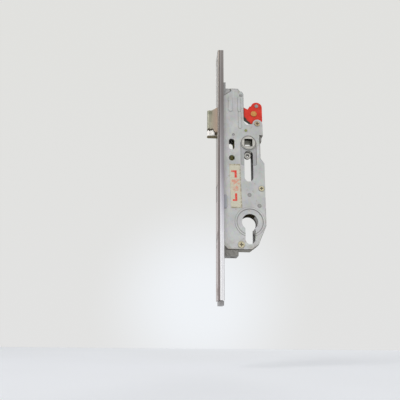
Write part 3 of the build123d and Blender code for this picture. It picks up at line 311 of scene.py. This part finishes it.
def dress_cover():
    """Zinc plated sheet: cloudy, with fine spangle, scratches, brown grime at the foot, and painted shade in
    its recesses, round its holes, on its boss, beside its slot, in dark lines along its edges and in its
    hollows.
    """
    look = Look("zinc_sheet", 0.55, 0.42)
    cloud = look.noise(70, detail=5)
    scratch = look.noise(260, (1, 1, 0.06), 2)
    dark, middle, pale = (0.53, 0.535, 0.52), (0.60, 0.605, 0.59), (0.66, 0.66, 0.645)
    worn = (0.78, 0.78, 0.77)
    look.base = look.ramp(cloud, (0.3, dark), (0.55, middle), (0.75, pale))
    # Paler towards the foot
    look.lay(look.level(look.axis("Z"), *PALER_FOOT_Z, 0, 0.35), worn)
    look.lay(0.10, look.cells(420, (1, 1, 0.7)), "SOFT_LIGHT")
    look.lay(look.level(scratch, 0.62, 0.75, 0, 0.35), worn)

    foot = look.level(look.axis("Z"), *GRIME_Z)
    brown_grime, brown_spots = (0.36, 0.30, 0.22), (0.42, 0.36, 0.27)
    look.lay(look.both(foot, look.patches(160, 0.42, 0.62), 0.45), brown_grime)
    look.lay(look.patches(330, 0.70, 0.76, 0.5, detail=1), brown_spots)

    recess_shade, inner_shade = (0.24, 0.24, 0.25), (0.14, 0.13, 0.12)
    depth = look.axis("Y")
    look.lay(look.level(depth, *RECESS_Y, 0, 0.42), recess_shade)
    look.lay(look.level(depth, *INNER_Y, 0, 0.70), inner_shade)

    # Painted shade in rings round the axle ends and the spindle, and on the edge of the ring pressed round
    # the cylinder hole
    axle_shade, spindle_shade, cylinder_ring_shade = (0.20, 0.19, 0.18), (0.14, 0.13, 0.11), (0.34, 0.34, 0.33)
    for place in AXLE_ENDS:
        look.lay(look.ring(place, *AXLE_LINE), axle_shade)
    look.lay(look.ring(SPINDLE, *SPINDLE_LINE), spindle_shade)
    look.lay(look.ring(CYLINDER, *CYLINDER_LINE), cylinder_ring_shade)
    bore_tone = (0.045, 0.035, 0.02)
    look.lay(look.bore_shade(), bore_tone)

    # Painted shade on the boss beside the strip
    boss = look.field(look.axis("X"), BOSS_X, look.axis("Z"), BOSS_Z)
    boss_shade = (0.30, 0.31, 0.38)
    look.lay(look.both(boss, 0.6), boss_shade)

    # Painted shade lines along the edges of the case and its pressings
    edge = 0.0
    for points in CASE_EDGES:
        for start, end in zip(points, points[1:]):
            edge = look.math("MAXIMUM", look.stroke(start, end, EDGE_SHADE_WIDTH), edge)
    edge_shade_tone = (0.16, 0.15, 0.13)
    look.lay(look.both(edge, look.patches(150, 0.30, 0.60, 0.95, 0.45)), edge_shade_tone)

    # Jagged painted shade beside the cylinder slot, where the dark gear teeth inside show
    slot_side = look.field(look.axis("X"), SLOT_SIDE_X, look.axis("Z"), SLOT_SIDE_Z)
    slot_side_shade, hollow_shade = (0.025, 0.02, 0.015), (0.16, 0.14, 0.11)
    look.lay(look.both(slot_side, look.patches(900, 0.42, 0.50, detail=2)), slot_side_shade)
    # Painted shade in hollows
    look.lay(look.both(look.hollow(COVER_CLOSED, 0.55, 0.92), 0.7), hollow_shade)
    look.dull(look.bore_shade())
    look.rough(cloud, low=0.34, high=0.50)
    look.bump(scratch, height=0.00005, strength=0.25)
    look.put("case_cover")


def dress_tray():
    """Zinc plated sheet that is stained, and darkened with painted shade at its rim, on its underside, inside
    in its hollows and in the cylinder hole.
    """
    look = Look("zinc_tray", 0.6, 0.42)
    cloud = look.noise(60, detail=5)
    dark, pale = (0.40, 0.40, 0.39), (0.56, 0.56, 0.55)
    stain, rim_shade, underside_shade = (0.33, 0.27, 0.18), (0.14, 0.13, 0.11), (0.14, 0.125, 0.085)
    bore_tone, hollow_shade = (0.06, 0.05, 0.03), (0.09, 0.08, 0.07)
    look.base = look.tones(cloud, WIDE, dark, pale)
    look.lay(look.patches(190, 0.60, 0.75, 0.5, stretch=(1, 1, 0.5)), stain)
    # Painted shade at the rim
    look.lay(look.level(look.axis("Y"), *TRAY_RIM_SHADE_Y, 0, 0.7), rim_shade)
    # Painted shade on faces that look down
    look.lay(look.both(look.under(), 0.88), underside_shade)
    look.lay(look.bore_shade(), bore_tone)
    # Painted shade in hollows
    look.lay(look.both(look.hollow(TRAY_CLOSED, 0.35, 0.85), 0.62), hollow_shade)
    look.dull(look.bore_shade())
    look.rough(cloud, low=0.36, high=0.52)
    look.bump(look.noise(500, (1, 1, 0.2)), height=0.00004, strength=0.3)
    look.put("case_tray")


# Strip

STRIP_Z = (-0.083, 0.208)
FLANK_Y = (0.0113, 0.0118)
CORNER_X = (-0.0331, -0.0325)
CORNER_Y = (0.0108, 0.0116)
STRIP_CLOSED = 0.002

# Tones of painted reflection from the strip's lower end to its upper end, at shares of its height
FLANK_REFLECTION_TONES = (
    (0.0, (1.0, 0.99, 0.99)),
    (0.22, (0.95, 0.94, 0.96)),
    (0.36, (0.62, 0.60, 0.66)),
    (0.48, (0.40, 0.37, 0.40)),
    (0.58, (0.36, 0.33, 0.34)),
    (0.78, (0.25, 0.22, 0.21)),
    (1.0, (0.36, 0.33, 0.31)),
)
# Tones of painted reflection on the front, at shares of the strip's height
FRONT_REFLECTION_TONES = (
    (0.0, (0.60, 0.52, 0.50)),
    (0.35, (0.62, 0.54, 0.52)),
    (0.45, (0.60, 0.53, 0.48)),
    (0.60, (0.56, 0.52, 0.48)),
    (0.85, (0.44, 0.41, 0.37)),
)

# Lines of painted reflection along the flank, the first a white highlight: from X, to X, share and colour.
# They fade between two shares of the strip's height.
FLANK_REFLECTION_LINES = (
    (-0.0325, -0.0314, 0.60, (1.0, 0.99, 0.99)),
    (-0.0310, -0.0298, 0.18, (0.36, 0.34, 0.42)),
    (-0.0289, -0.0280, 0.55, (0.20, 0.19, 0.20)),
)
FLANK_LINE_SOFT = 0.00025
FLANK_LINE_FADE_SHARES = (0.66, 0.45)

# Dark patches on the front, beside the lower screws: from Z, to Z, on the cover's side of the middle
FRONT_PATCHES = ((-0.0195, -0.0115), (-0.0785, -0.0705))
FRONT_PATCH_SOFT = 0.0012
FRONT_PATCH_Y = (0.004, -0.004)


def strip_front(look, height):
    """The front's colours, a painted reflection that is warmer below, with dark patches towards the cover's
    side.
    """
    front = look.ramp(height, *FRONT_REFLECTION_TONES)
    patch_tone = (0.24, 0.18, 0.15)
    for low, high in FRONT_PATCHES:
        patch = look.band(look.axis("Z"), low, high, FRONT_PATCH_SOFT)
        near_side = look.level(look.axis("Y"), *FRONT_PATCH_Y)
        patch = look.both(patch, near_side, look.patches(240, 0.35, 0.55, 0.85, 0.3))
        front = look.mix(patch, front, patch_tone)
    return front


def strip_flank(look, height):
    """The flanks' colours, a painted reflection pale below and dark above, with lines of painted reflection
    that fade towards the top.
    """
    flank = look.ramp(height, *FLANK_REFLECTION_TONES)
    for low, high, share, colour in FLANK_REFLECTION_LINES:
        line = look.both(look.band(look.axis("X"), low, high, FLANK_LINE_SOFT), share)
        fade = look.level(height, *FLANK_LINE_FADE_SHARES, 0.25, 1.0)
        flank = look.mix(look.both(line, fade), flank, colour)
    return flank


def dress_strip():
    """Silver strip with a grain along its length, painted reflection on its front and flanks, and painted
    shade that darkens it along its corners and in its hollows.
    """
    look = Look("strip_nickel", 0.7, 0.3)
    grain = look.noise(1500, (1, 1, 0.008), 2)
    height = look.level(look.axis("Z"), *STRIP_Z)
    side = look.math("ABSOLUTE", look.axis("Y"))
    front, flank = strip_front(look, height), strip_flank(look, height)
    look.base = look.mix(look.level(side, *FLANK_Y), front, flank)

    # Painted shade along the corners between the front and the flanks
    corner_shade_low, corner_shade_high = (0.20, 0.155, 0.15), (0.17, 0.155, 0.14)
    near_front = look.level(look.axis("X"), *CORNER_X, 1.0, 0.0)
    near_side = look.level(side, *CORNER_Y)
    look.lay(look.both(near_front, near_side, 0.95), look.mix(height, corner_shade_low, corner_shade_high))

    dark_grain, pale_grain = (0.42, 0.42, 0.42), (0.62, 0.62, 0.62)
    look.lay(0.10, look.ramp(grain, (0.35, dark_grain), (0.65, pale_grain)), "OVERLAY")
    smear_tone, hollow_shade = (0.44, 0.36, 0.30), (0.12, 0.10, 0.09)
    look.lay(look.patches(45, 0.56, 0.72, 0.3, stretch=(1, 1, 0.25)), smear_tone)
    # Painted shade in hollows
    look.lay(look.both(look.hollow(STRIP_CLOSED, 0.45, 0.9), 0.6), hollow_shade)
    look.link(look.level(height, 0.30, 0.50, 0.30, 0.70), look.shader.inputs["Metallic"])
    look.rough(grain, low=0.27, high=0.33)
    look.bump(grain, height=0.00001, strength=0.2)
    look.put("faceplate")


# Latch

# Heights count from the latch's lower end.
LATCH_LOW = 0.102
LATCH_TIP_X = (-0.0456, -0.0446)
LATCH_BROWN_X = (-0.0425, -0.0365)
LATCH_TOP_SHADE_X = (-0.0452, -0.0405, 0.0012)
LATCH_TOP_SHADE_HEIGHT = (0.0285, 0.0325, 0.0015)

# The painted highlight on the lip ends on a ragged edge, whose height drops between two places along X, under
# a painted shade line.
LIP_RAGGED = 0.0012
LIP_DROP_X = (-0.0398, -0.0372)
LIP_DROP_HEIGHT = (0.0077, 0.0008)
LIP_SHADE_LINE = (0.0, 0.0024, 0.0003)
LIP_EDGE = (0.0003, -0.0003)
LIP_FOOT_HEIGHT = (0.0019, 0.0009)


def dress_latch():
    """Worn latch: olive towards its tip, browner at the strip, with painted shade near its top, and a painted
    highlight on a broken lip below, under a painted shade line and over painted shade at its foot.
    """
    look = Look("latch_nickel", 0.5, 0.34)
    cloud = look.noise(110, detail=4)
    x = look.axis("X")
    height = look.math("SUBTRACT", look.axis("Z"), LATCH_LOW)
    dark_olive, pale_olive, brown = (0.42, 0.41, 0.31), (0.50, 0.48, 0.37), (0.50, 0.38, 0.29)
    look.base = look.tones(cloud, NARROW, dark_olive, pale_olive)
    look.lay(look.level(x, *LATCH_BROWN_X), brown)
    tip_tone, patch_tone = (0.22, 0.22, 0.19), (0.16, 0.18, 0.11)
    look.lay(look.level(x, *LATCH_TIP_X, 0.45, 0), tip_tone)
    # Painted shade near the latch's upper edge
    patch = look.field(x, LATCH_TOP_SHADE_X, height, LATCH_TOP_SHADE_HEIGHT)
    look.lay(look.both(patch, 0.6), patch_tone)

    rim = look.math("ADD", look.level(x, *LIP_DROP_X, *LIP_DROP_HEIGHT), look.ragged(420, LIP_RAGGED))
    above = look.math("SUBTRACT", height, rim)
    shade_line_tone, lip_highlight, lip_foot_shade = (0.05, 0.035, 0.02), (1.0, 0.97, 0.92), (0.16, 0.13, 0.07)
    # Painted shade line over the lip, painted highlight on the lip, and painted shade at its foot
    look.lay(look.both(look.band(above, *LIP_SHADE_LINE), look.patches(260, 0.30, 0.38, detail=1)), shade_line_tone)
    look.lay(look.level(above, *LIP_EDGE), lip_highlight)
    look.lay(look.level(height, *LIP_FOOT_HEIGHT), lip_foot_shade)
    look.rough(cloud, low=0.28, high=0.44)
    look.bump(look.noise(520, detail=2), height=0.00005, strength=0.35)
    look.put("latch_head")


# Follower

EYE_DROP = 0.0153
EYE = (-0.0011, SPINDLE[1] - EYE_DROP)
EYE_SHADE_LINES = ((-0.001, 0.0021, 0.0003), (0.0034, 0.0052, 0.0003))
SQUARE_BAND = (-0.0046, 0.0046, 0.0001)
MOUTH_Y = (-0.0050, -0.0020)


def dress_follower():
    """Cast follower: pale face, painted shade black at the mouth of its square and grey deeper in, and
    painted shade in dark lines round its eye.
    """
    look = Look("cast_follower", 0.35, 0.48)
    cloud = look.noise(260, detail=4)
    dark, pale, stain = (0.52, 0.51, 0.46), (0.64, 0.62, 0.57), (0.30, 0.26, 0.19)
    look.base = look.tones(cloud, NARROW, dark, pale)
    look.lay(look.patches(600, 0.60, 0.72, 0.4), stain)

    rise = look.math("SUBTRACT", look.axis("Z"), SPINDLE[1])
    square = look.field(look.axis("X"), SQUARE_BAND, rise, SQUARE_BAND)
    inside = look.level(look.axis("Y"), *MOUTH_Y)
    # Painted shade in the square hole: black at its mouth, grey deeper in
    square_mouth_shade, square_inside_shade = (0.012, 0.011, 0.006), (0.24, 0.235, 0.18)
    look.lay(square, look.mix(inside, square_mouth_shade, square_inside_shade))
    look.dull(look.both(square, look.math("SUBTRACT", 1.0, inside)))

    # Painted shade in rings round the eye
    shade_line_tone = (0.05, 0.045, 0.04)
    for line in EYE_SHADE_LINES:
        look.lay(look.both(look.ring(EYE, *line), 0.85), shade_line_tone)
    look.rough(cloud, low=0.40, high=0.55)
    look.bump(look.noise(1200, detail=2), height=0.00004, strength=0.3)
    look.put("spindle_follower")


# Red lever

# The painted shade on the lower left corner comes in between two sums of X and Z.
LEVER_SHADE_CORNER = (0.1215, 0.1203)
LEVER_RAGGED = 0.0012
LEVER_CLOSED = 0.0009


def dress_lever():
    """Red lacquer, thin and darker along worn marks, with painted shade at its lower left corner and in its
    hollows.
    """
    look = Look("lever_red", 0.0, 0.32)
    cloud = look.noise(140, detail=4)
    dark, pale = (0.58, 0.026, 0.014), (0.72, 0.048, 0.026)
    worn, corner_shade_tone, hollow_shade = (0.30, 0.10, 0.06), (0.045, 0.045, 0.030), (0.20, 0.05, 0.02)
    look.base = look.tones(cloud, WIDE, dark, pale)
    look.lay(look.patches(520, 0.66, 0.72, 0.8, stretch=(1, 1, 0.5)), worn)
    # Painted shade on the lower left corner, where the notch shows the dark inside
    corner = look.math("ADD", look.axis("X"), look.axis("Z"))
    corner = look.math("ADD", corner, look.ragged(380, LEVER_RAGGED))
    look.lay(look.level(corner, *LEVER_SHADE_CORNER), corner_shade_tone)
    # Painted shade in hollows
    look.lay(look.both(look.hollow(LEVER_CLOSED, 0.45, 0.9), 0.7), hollow_shade)
    look.rough(cloud, low=0.28, high=0.42)
    look.shader.inputs["Coat Weight"].default_value = 0.08
    look.shader.inputs["Specular IOR Level"].default_value = 0.3
    look.bump(cloud, height=0.00008, strength=0.3)
    look.put("red_lever")


# Label

LABEL_MIDDLE = (-0.0151, 0.0404)
LABEL_TILT = math.radians(1.8)

# Bands and places on the label count from its middle. A mark is a bar with a band along each axis.
MARK_SOFT = 0.00012
MARK_BARS = (
    ((-0.0008, 0.0018, MARK_SOFT), (0.0092, 0.0178, MARK_SOFT)),
    ((-0.0042, 0.0018, MARK_SOFT), (0.0158, 0.0178, MARK_SOFT)),
    ((-0.0012, 0.0012, MARK_SOFT), (-0.0174, -0.0088, MARK_SOFT)),
    ((-0.0040, 0.0012, MARK_SOFT), (-0.0174, -0.0156, MARK_SOFT)),
)
SMUDGE_X = (-0.0045, 0.0045, 0.001)
SMUDGE_Z = (-0.007, 0.0075, 0.001)
LABEL_END_Z = (0.0232, 0.0246)
LABEL_SIDE_X = (0.0042, 0.0055)


def label_axes(look):
    """X and Z from the label's middle, along its own tilted edges."""
    turned = look.nodes.new("ShaderNodeVectorRotate")
    turned.rotation_type = "Y_AXIS"
    look.links.new(look.place, turned.inputs["Vector"])
    turned.inputs["Center"].default_value = (LABEL_MIDDLE[0], 0, LABEL_MIDDLE[1])
    turned.inputs["Angle"].default_value = LABEL_TILT
    parts = look.nodes.new("ShaderNodeSeparateXYZ")
    look.links.new(turned.outputs[0], parts.inputs[0])
    x = look.math("SUBTRACT", parts.outputs["X"], LABEL_MIDDLE[0])
    z = look.math("SUBTRACT", parts.outputs["Z"], LABEL_MIDDLE[1])
    return x, z


def dress_label():
    """Beige paper with plain red corner marks and a pink smudge, and nothing that can be read."""
    look = Look("label_paper", 0.0, 0.6)
    fibre = look.noise(900, detail=3)
    dark, pale, red = (0.54, 0.51, 0.39), (0.66, 0.63, 0.50), (0.74, 0.045, 0.025)
    pink, rubbed_tone = (0.70, 0.24, 0.16), (0.20, 0.15, 0.08)
    look.base = look.tones(fibre, WIDE, dark, pale)
    x, z = label_axes(look)

    marks = 0.0
    for x_band, z_band in MARK_BARS:
        marks = look.math("MAXIMUM", look.field(x, x_band, z, z_band), marks)
    look.lay(look.both(marks, look.patches(900, 0.30, 0.42)), red)

    smudge = look.field(x, SMUDGE_X, z, SMUDGE_Z)
    look.lay(look.both(smudge, look.patches(420, 0.46, 0.60, 0.75, detail=4)), pink)

    ends = look.level(look.math("ABSOLUTE", z), *LABEL_END_Z)
    right_side = look.level(x, *LABEL_SIDE_X)
    rubbed = look.both(look.patches(500, 0.40, 0.60, detail=4), look.math("MAXIMUM", ends, right_side))
    look.lay(look.both(rubbed, 0.8), rubbed_tone)
    look.bump(fibre, height=0.00003, strength=0.3)
    look.put("label")


# Plain metals

# Scale is the clouds' noise scale, roughs the range of roughness, closed the distance within which painted
# shade darkens a hollow, sunk the depths between which painted shade darkens a screw's cross, and bore the
# tone of the painted shade in the cylinder hole.
SCREW_CROSS_Y = (-0.0087, -0.0084)
PLAIN_METALS = {
    "rail_steel": dict(
        metallic=0.8, dark=(0.34, 0.33, 0.33), pale=(0.46, 0.45, 0.44), scale=90, roughs=(0.32, 0.45),
        nodes=("drive_rail",), stretch=(1, 1, 0.1),
    ),
    "bolt_nickel": dict(
        metallic=0.8, dark=(0.42, 0.42, 0.41), pale=(0.55, 0.55, 0.53), scale=120, roughs=(0.25, 0.38),
        nodes=("dead_bolt",),
    ),
    # Cast zinc darkened with painted shade
    "cast_zinc": dict(
        metallic=0.35, dark=(0.19, 0.185, 0.17), pale=(0.31, 0.30, 0.275), scale=420, roughs=(0.45, 0.6),
        nodes=("foot_lug", "drive_bracket"), stain=(0.06, 0.055, 0.04), closed=0.003,
    ),
    "cast_zinc_pale": dict(
        metallic=0.45, dark=(0.38, 0.38, 0.37), pale=(0.52, 0.52, 0.51), scale=260, roughs=(0.45, 0.6),
        nodes=("top_lug",), stain=(0.30, 0.25, 0.19),
    ),
    "gear_steel": dict(
        metallic=0.7, dark=(0.24, 0.23, 0.21), pale=(0.40, 0.39, 0.36), scale=200, roughs=(0.3, 0.45),
        nodes=("cylinder_gear", "right_idler_gear", "left_idler_gear", "drive_gear"),
        stain=(0.22, 0.17, 0.10), bore=(0.035, 0.028, 0.014),
    ),
    "pin_steel": dict(
        metallic=0.85, dark=(0.34, 0.34, 0.33), pale=(0.52, 0.52, 0.50), scale=300, roughs=(0.28, 0.42),
        nodes=("gear_axles", "latch_tail", "bolt_tail", "tie_rivet", "cylinder_screw", "lever_stud"),
        closed=0.003,
    ),
    "spring_steel": dict(
        metallic=0.9, dark=(0.22, 0.22, 0.23), pale=(0.36, 0.36, 0.37), scale=400, roughs=(0.25, 0.35),
        nodes=(),
    ),
    "yellow_zinc": dict(
        metallic=0.4, dark=(0.62, 0.60, 0.18), pale=(0.84, 0.80, 0.36), scale=240, roughs=(0.32, 0.45),
        nodes=("drive_slider", "return_plunger", "latch_guide"), stain=(0.50, 0.36, 0.16),
    ),
    "pin_yellow": dict(
        metallic=0.3, dark=(0.22, 0.24, 0.08), pale=(0.34, 0.36, 0.14), scale=600, roughs=(0.4, 0.55),
        nodes=("cover_pin",), closed=0.001,
    ),
    "screw_yellow": dict(
        metallic=0.5, dark=(0.58, 0.52, 0.33), pale=(0.76, 0.70, 0.50), scale=420, roughs=(0.28, 0.42),
        nodes=("side_screw", "foot_screw"), stain=(0.30, 0.24, 0.14), sunk=SCREW_CROSS_Y,
    ),
    "screw_bronze": dict(
        metallic=0.5, dark=(0.42, 0.32, 0.20), pale=(0.64, 0.52, 0.35), scale=420, roughs=(0.28, 0.42),
        nodes=("lever_screw",), sunk=SCREW_CROSS_Y,
    ),
    "rivet_copper": dict(
        metallic=0.45, dark=(0.60, 0.24, 0.055), pale=(0.78, 0.40, 0.12), scale=420, roughs=(0.28, 0.42),
        nodes=("lever_rivet",), stain=(0.34, 0.12, 0.06),
    ),
}


def dress_plain(
    name, metallic, dark, pale, scale, roughs, nodes,
    stretch=EVEN, stain=None, sunk=None, closed=0.002, bore=None,
):
    """A worked metal: two tones in clouds, fine marks, a stain in patches, and painted shade in its hollows,
    in a screw's cross and in the cylinder hole.
    """
    look = Look(name, metallic, roughs[0])
    cloud = look.noise(scale, stretch, 4)
    cross_shade, hollow_shade = (0.12, 0.09, 0.05), (0.07, 0.06, 0.05)
    look.base = look.tones(cloud, NARROW, dark, pale)
    if stain:
        look.lay(look.patches(scale * 2.3, 0.58, 0.72, 0.55), stain)
    # Painted shade in a screw's cross
    if sunk:
        look.lay(look.level(look.axis("Y"), *sunk, 0, 0.7), cross_shade)
    if bore:
        look.lay(look.bore_shade(), bore)
        look.dull(look.bore_shade())
    # Painted shade in hollows
    look.lay(look.both(look.hollow(closed, 0.4, 0.9), 0.7), hollow_shade)
    look.rough(cloud, *roughs)
    look.bump(look.noise(scale * 5, stretch, 2), height=0.00004, strength=0.3)
    return look.put(*nodes)


dress_cover()
dress_tray()
dress_strip()
dress_latch()
dress_follower()
dress_lever()
dress_label()
plain_looks = {name: dress_plain(name, **facts) for name, facts in PLAIN_METALS.items()}


# Springs of round wire, in place of their CAD nodes

X, Z = 0, 2
LATCH_WIRE = 0.0009
LATCH_TURNS = 4
RETURN_WIRE = 0.0008
RETURN_TURNS = 5
CLOSED_TURNS = 0.75
STEPS_PER_TURN = 28
WIRE_SIDES = 10


def coil_points(start, up, radius, length, wire, turns):
    """Rings of points along a round wire, which winds up from start with closed ends."""
    out = Vector((0, 1, 0))
    side = up.cross(out)
    closed = CLOSED_TURNS * wire
    whole = turns + 2 * CLOSED_TURNS
    pitch = (length - wire - 2 * closed) / turns

    def rise(turn):
        if turn < CLOSED_TURNS:
            return turn * wire
        if turn > turns + CLOSED_TURNS:
            return length - wire - (whole - turn) * wire
        return closed + (turn - CLOSED_TURNS) * pitch

    steps = round(whole * STEPS_PER_TURN)
    points = []
    for step in range(steps + 1):
        turn = whole * step / steps
        angle = 2 * math.pi * turn
        away = out * math.cos(angle) + side * math.sin(angle)
        centre = start + up * rise(turn) + away * radius
        for number in range(WIRE_SIDES):
            around = 2 * math.pi * number / WIRE_SIDES
            points.append(centre + (away * math.cos(around) + up * math.sin(around)) * wire / 2)
    return points


def coil_faces(points):
    """Two end caps, and four-sided faces between each ring and the next."""
    last_ring = len(points) - WIRE_SIDES
    faces = [tuple(range(WIRE_SIDES)), tuple(reversed(range(last_ring, len(points))))]
    for ring in range(0, last_ring, WIRE_SIDES):
        for number in range(WIRE_SIDES):
            first = ring + number
            second = ring + (number + 1) % WIRE_SIDES
            faces.append((first, first + WIRE_SIDES, second + WIRE_SIDES, second))
    return faces


def coil(name, node, along, wire, turns):
    """A spring in place of its CAD node, on the lock case's body."""
    corners = [Vector(corner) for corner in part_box(node)]
    length = corners[1][along] - corners[0][along]
    radius = (corners[1].y - corners[0].y - wire) / 2
    up = Vector([float(number == along) for number in range(3)])
    start = (corners[0] + corners[1]) / 2 - up * (length - wire) / 2
    points = coil_points(start, up, radius, length, wire, turns)
    mesh = bpy.data.meshes.new(name)
    mesh.from_pydata(points, [], coil_faces(points))
    mesh.materials.append(plain_looks["spring_steel"].material)
    for face in mesh.polygons:
        face.use_smooth = len(face.vertices) == 4
    piece = bpy.data.objects.new(name, mesh)
    bpy.context.scene.collection.objects.link(piece)
    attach(piece, "lock_case")
    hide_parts(node)
    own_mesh(piece)


coil("latch_coil", "latch_spring", X, LATCH_WIRE, LATCH_TURNS)
coil("return_coil", "return_spring", Z, RETURN_WIRE, RETURN_TURNS)


# Stage: a pale floor, and a pale world behind it

FLOOR_Z = -0.150
FLOOR_REACH_X = 1.4
FLOOR_REACH_Y = 0.6
FLOOR_DARK = (0.86, 0.88, 0.90)
FLOOR_PALE = (0.88, 0.90, 0.93)

# The glow is a paler disc of the backdrop. Its reach and core are distances from GLOW_WAY on the unit sphere.
GLOW_WAY = (0.06, 0.995, 0.065)
GLOW_REACH = 0.25
GLOW_CORE = 0.03
GLOW_COLOUR = (0.87, 0.895, 0.925)

# Heights of the view's direction, and the colours at the lower and the higher one
BACKDROP_HEIGHTS = (-0.05, 0.55)
BACKDROP_LOW = (0.765, 0.765, 0.76)
BACKDROP_HIGH = (0.755, 0.755, 0.735)
LIGHT_HEIGHTS = (-1.0, 1.0)
LIGHT_LOW = (1.0, 1.0, 1.0)
LIGHT_HIGH = (0.45, 0.45, 0.46)
WORLD_STRENGTH = 0.95


def pale_floor():
    mesh = bpy.data.meshes.new("floor")
    signs = ((-1, -1), (1, -1), (1, 1), (-1, 1))
    corners = [(x * FLOOR_REACH_X, y * FLOOR_REACH_Y, FLOOR_Z) for x, y in signs]
    mesh.from_pydata(corners, [], [(0, 1, 2, 3)])
    floor = bpy.data.objects.new("floor", mesh)
    bpy.context.scene.collection.objects.link(floor)
    look = Look("floor_paint", 0.0, 0.9)
    look.base = look.tones(look.noise(3), WIDE, FLOOR_DARK, FLOOR_PALE)
    look.put()
    mesh.materials.append(look.material)


def pale_world():
    """Light that is brighter from below than from above, and the backdrop's own colours for the camera."""
    world = bpy.data.worlds.new("studio")
    bpy.context.scene.world = world
    world.use_nodes = True
    nodes = world.node_tree.nodes
    links = world.node_tree.links
    way = nodes.new("ShaderNodeTexCoord").outputs["Generated"]
    parts = nodes.new("ShaderNodeSeparateXYZ")
    links.new(way, parts.inputs[0])

    def shaded(heights, *colours):
        """One colour at the lower height of the view's direction, and the other at the higher one."""
        spread = nodes.new("ShaderNodeMapRange")
        spread.inputs["From Min"].default_value = heights[0]
        spread.inputs["From Max"].default_value = heights[1]
        links.new(parts.outputs["Z"], spread.inputs["Value"])
        ramp = nodes.new("ShaderNodeValToRGB")
        for element, colour in zip(ramp.color_ramp.elements, colours):
            element.color = (*colour, 1)
        links.new(spread.outputs["Result"], ramp.inputs["Fac"])
        return ramp.outputs["Color"]

    light = nodes["Background"]
    light.inputs["Strength"].default_value = WORLD_STRENGTH
    links.new(shaded(LIGHT_HEIGHTS, LIGHT_LOW, LIGHT_HIGH), light.inputs["Color"])

    reach = nodes.new("ShaderNodeVectorMath")
    reach.operation = "DISTANCE"
    links.new(way, reach.inputs[0])
    reach.inputs[1].default_value = GLOW_WAY
    glow = nodes.new("ShaderNodeMapRange")
    glow.interpolation_type = "SMOOTHSTEP"
    glow.inputs["From Min"].default_value = GLOW_REACH
    glow.inputs["From Max"].default_value = GLOW_CORE
    links.new(reach.outputs["Value"], glow.inputs["Value"])
    blend = nodes.new("ShaderNodeMix")
    blend.data_type = "RGBA"
    links.new(glow.outputs["Result"], blend.inputs["Factor"])
    links.new(shaded(BACKDROP_HEIGHTS, BACKDROP_LOW, BACKDROP_HIGH), blend.inputs["A"])
    blend.inputs["B"].default_value = (*GLOW_COLOUR, 1)
    seen = nodes.new("ShaderNodeBackground")
    links.new(blend.outputs["Result"], seen.inputs["Color"])

    path = nodes.new("ShaderNodeLightPath")
    choose = nodes.new("ShaderNodeMixShader")
    links.new(path.outputs["Is Camera Ray"], choose.inputs["Fac"])
    links.new(light.outputs[0], choose.inputs[1])
    links.new(seen.outputs[0], choose.inputs[2])
    links.new(choose.outputs[0], nodes["World Output"].inputs["Surface"])


# Name, place, diameter and watts
LAMPS = (
    ("key", (-0.9, -0.9, 1.1), 0.8, 9.0),
    ("fill", (1.2, -0.9, 0.4), 0.9, 4.0),
    ("back", (0.3, 1.2, 0.9), 0.9, 5.0),
)
LAMP_AIM = Vector((0, 0, 0.06))


def lamp(name, place, size, power):
    data = bpy.data.lights.new(name, "AREA")
    data.shape = "DISK"
    data.size = size
    data.energy = power
    lamp_object = bpy.data.objects.new(name, data)
    lamp_object.location = place
    way = lamp_object.location - LAMP_AIM
    lamp_object.rotation_mode = "QUATERNION"
    lamp_object.rotation_quaternion = way.to_track_quat("Z", "Y")
    bpy.context.scene.collection.objects.link(lamp_object)


pale_floor()
pale_world()
for facts in LAMPS:
    lamp(*facts)


# Camera at the photograph's viewpoint

# Pitch, roll and yaw in degrees, and the lens and the sensor in millimetres
CAMERA_TURNS = (16.37, -0.61, -3.34)
CAMERA_LENS = 40.55
SENSOR_WIDTH = 36.0
CAMERA_PLACE = (-0.0813, -0.4742, -0.1143)
CAMERA_CLIP = (0.01, 20)


def photo_camera():
    data = bpy.data.cameras.new("camera")
    data.lens = CAMERA_LENS
    data.sensor_width = SENSOR_WIDTH
    data.clip_start, data.clip_end = CAMERA_CLIP
    camera = bpy.data.objects.new("camera", data)
    pitch, roll, yaw = (math.radians(turn) for turn in CAMERA_TURNS)
    turn = Matrix.Rotation(yaw, 4, "Z") @ Matrix.Rotation(pitch, 4, "X") @ Matrix.Rotation(roll, 4, "Y")
    upright = Matrix.Rotation(math.pi / 2, 4, "X")
    camera.matrix_world = Matrix.Translation(CAMERA_PLACE) @ turn @ upright
    bpy.context.scene.collection.objects.link(camera)
    bpy.context.scene.camera = camera


photo_camera()
bpy.context.scene.view_settings.view_transform = "Standard"
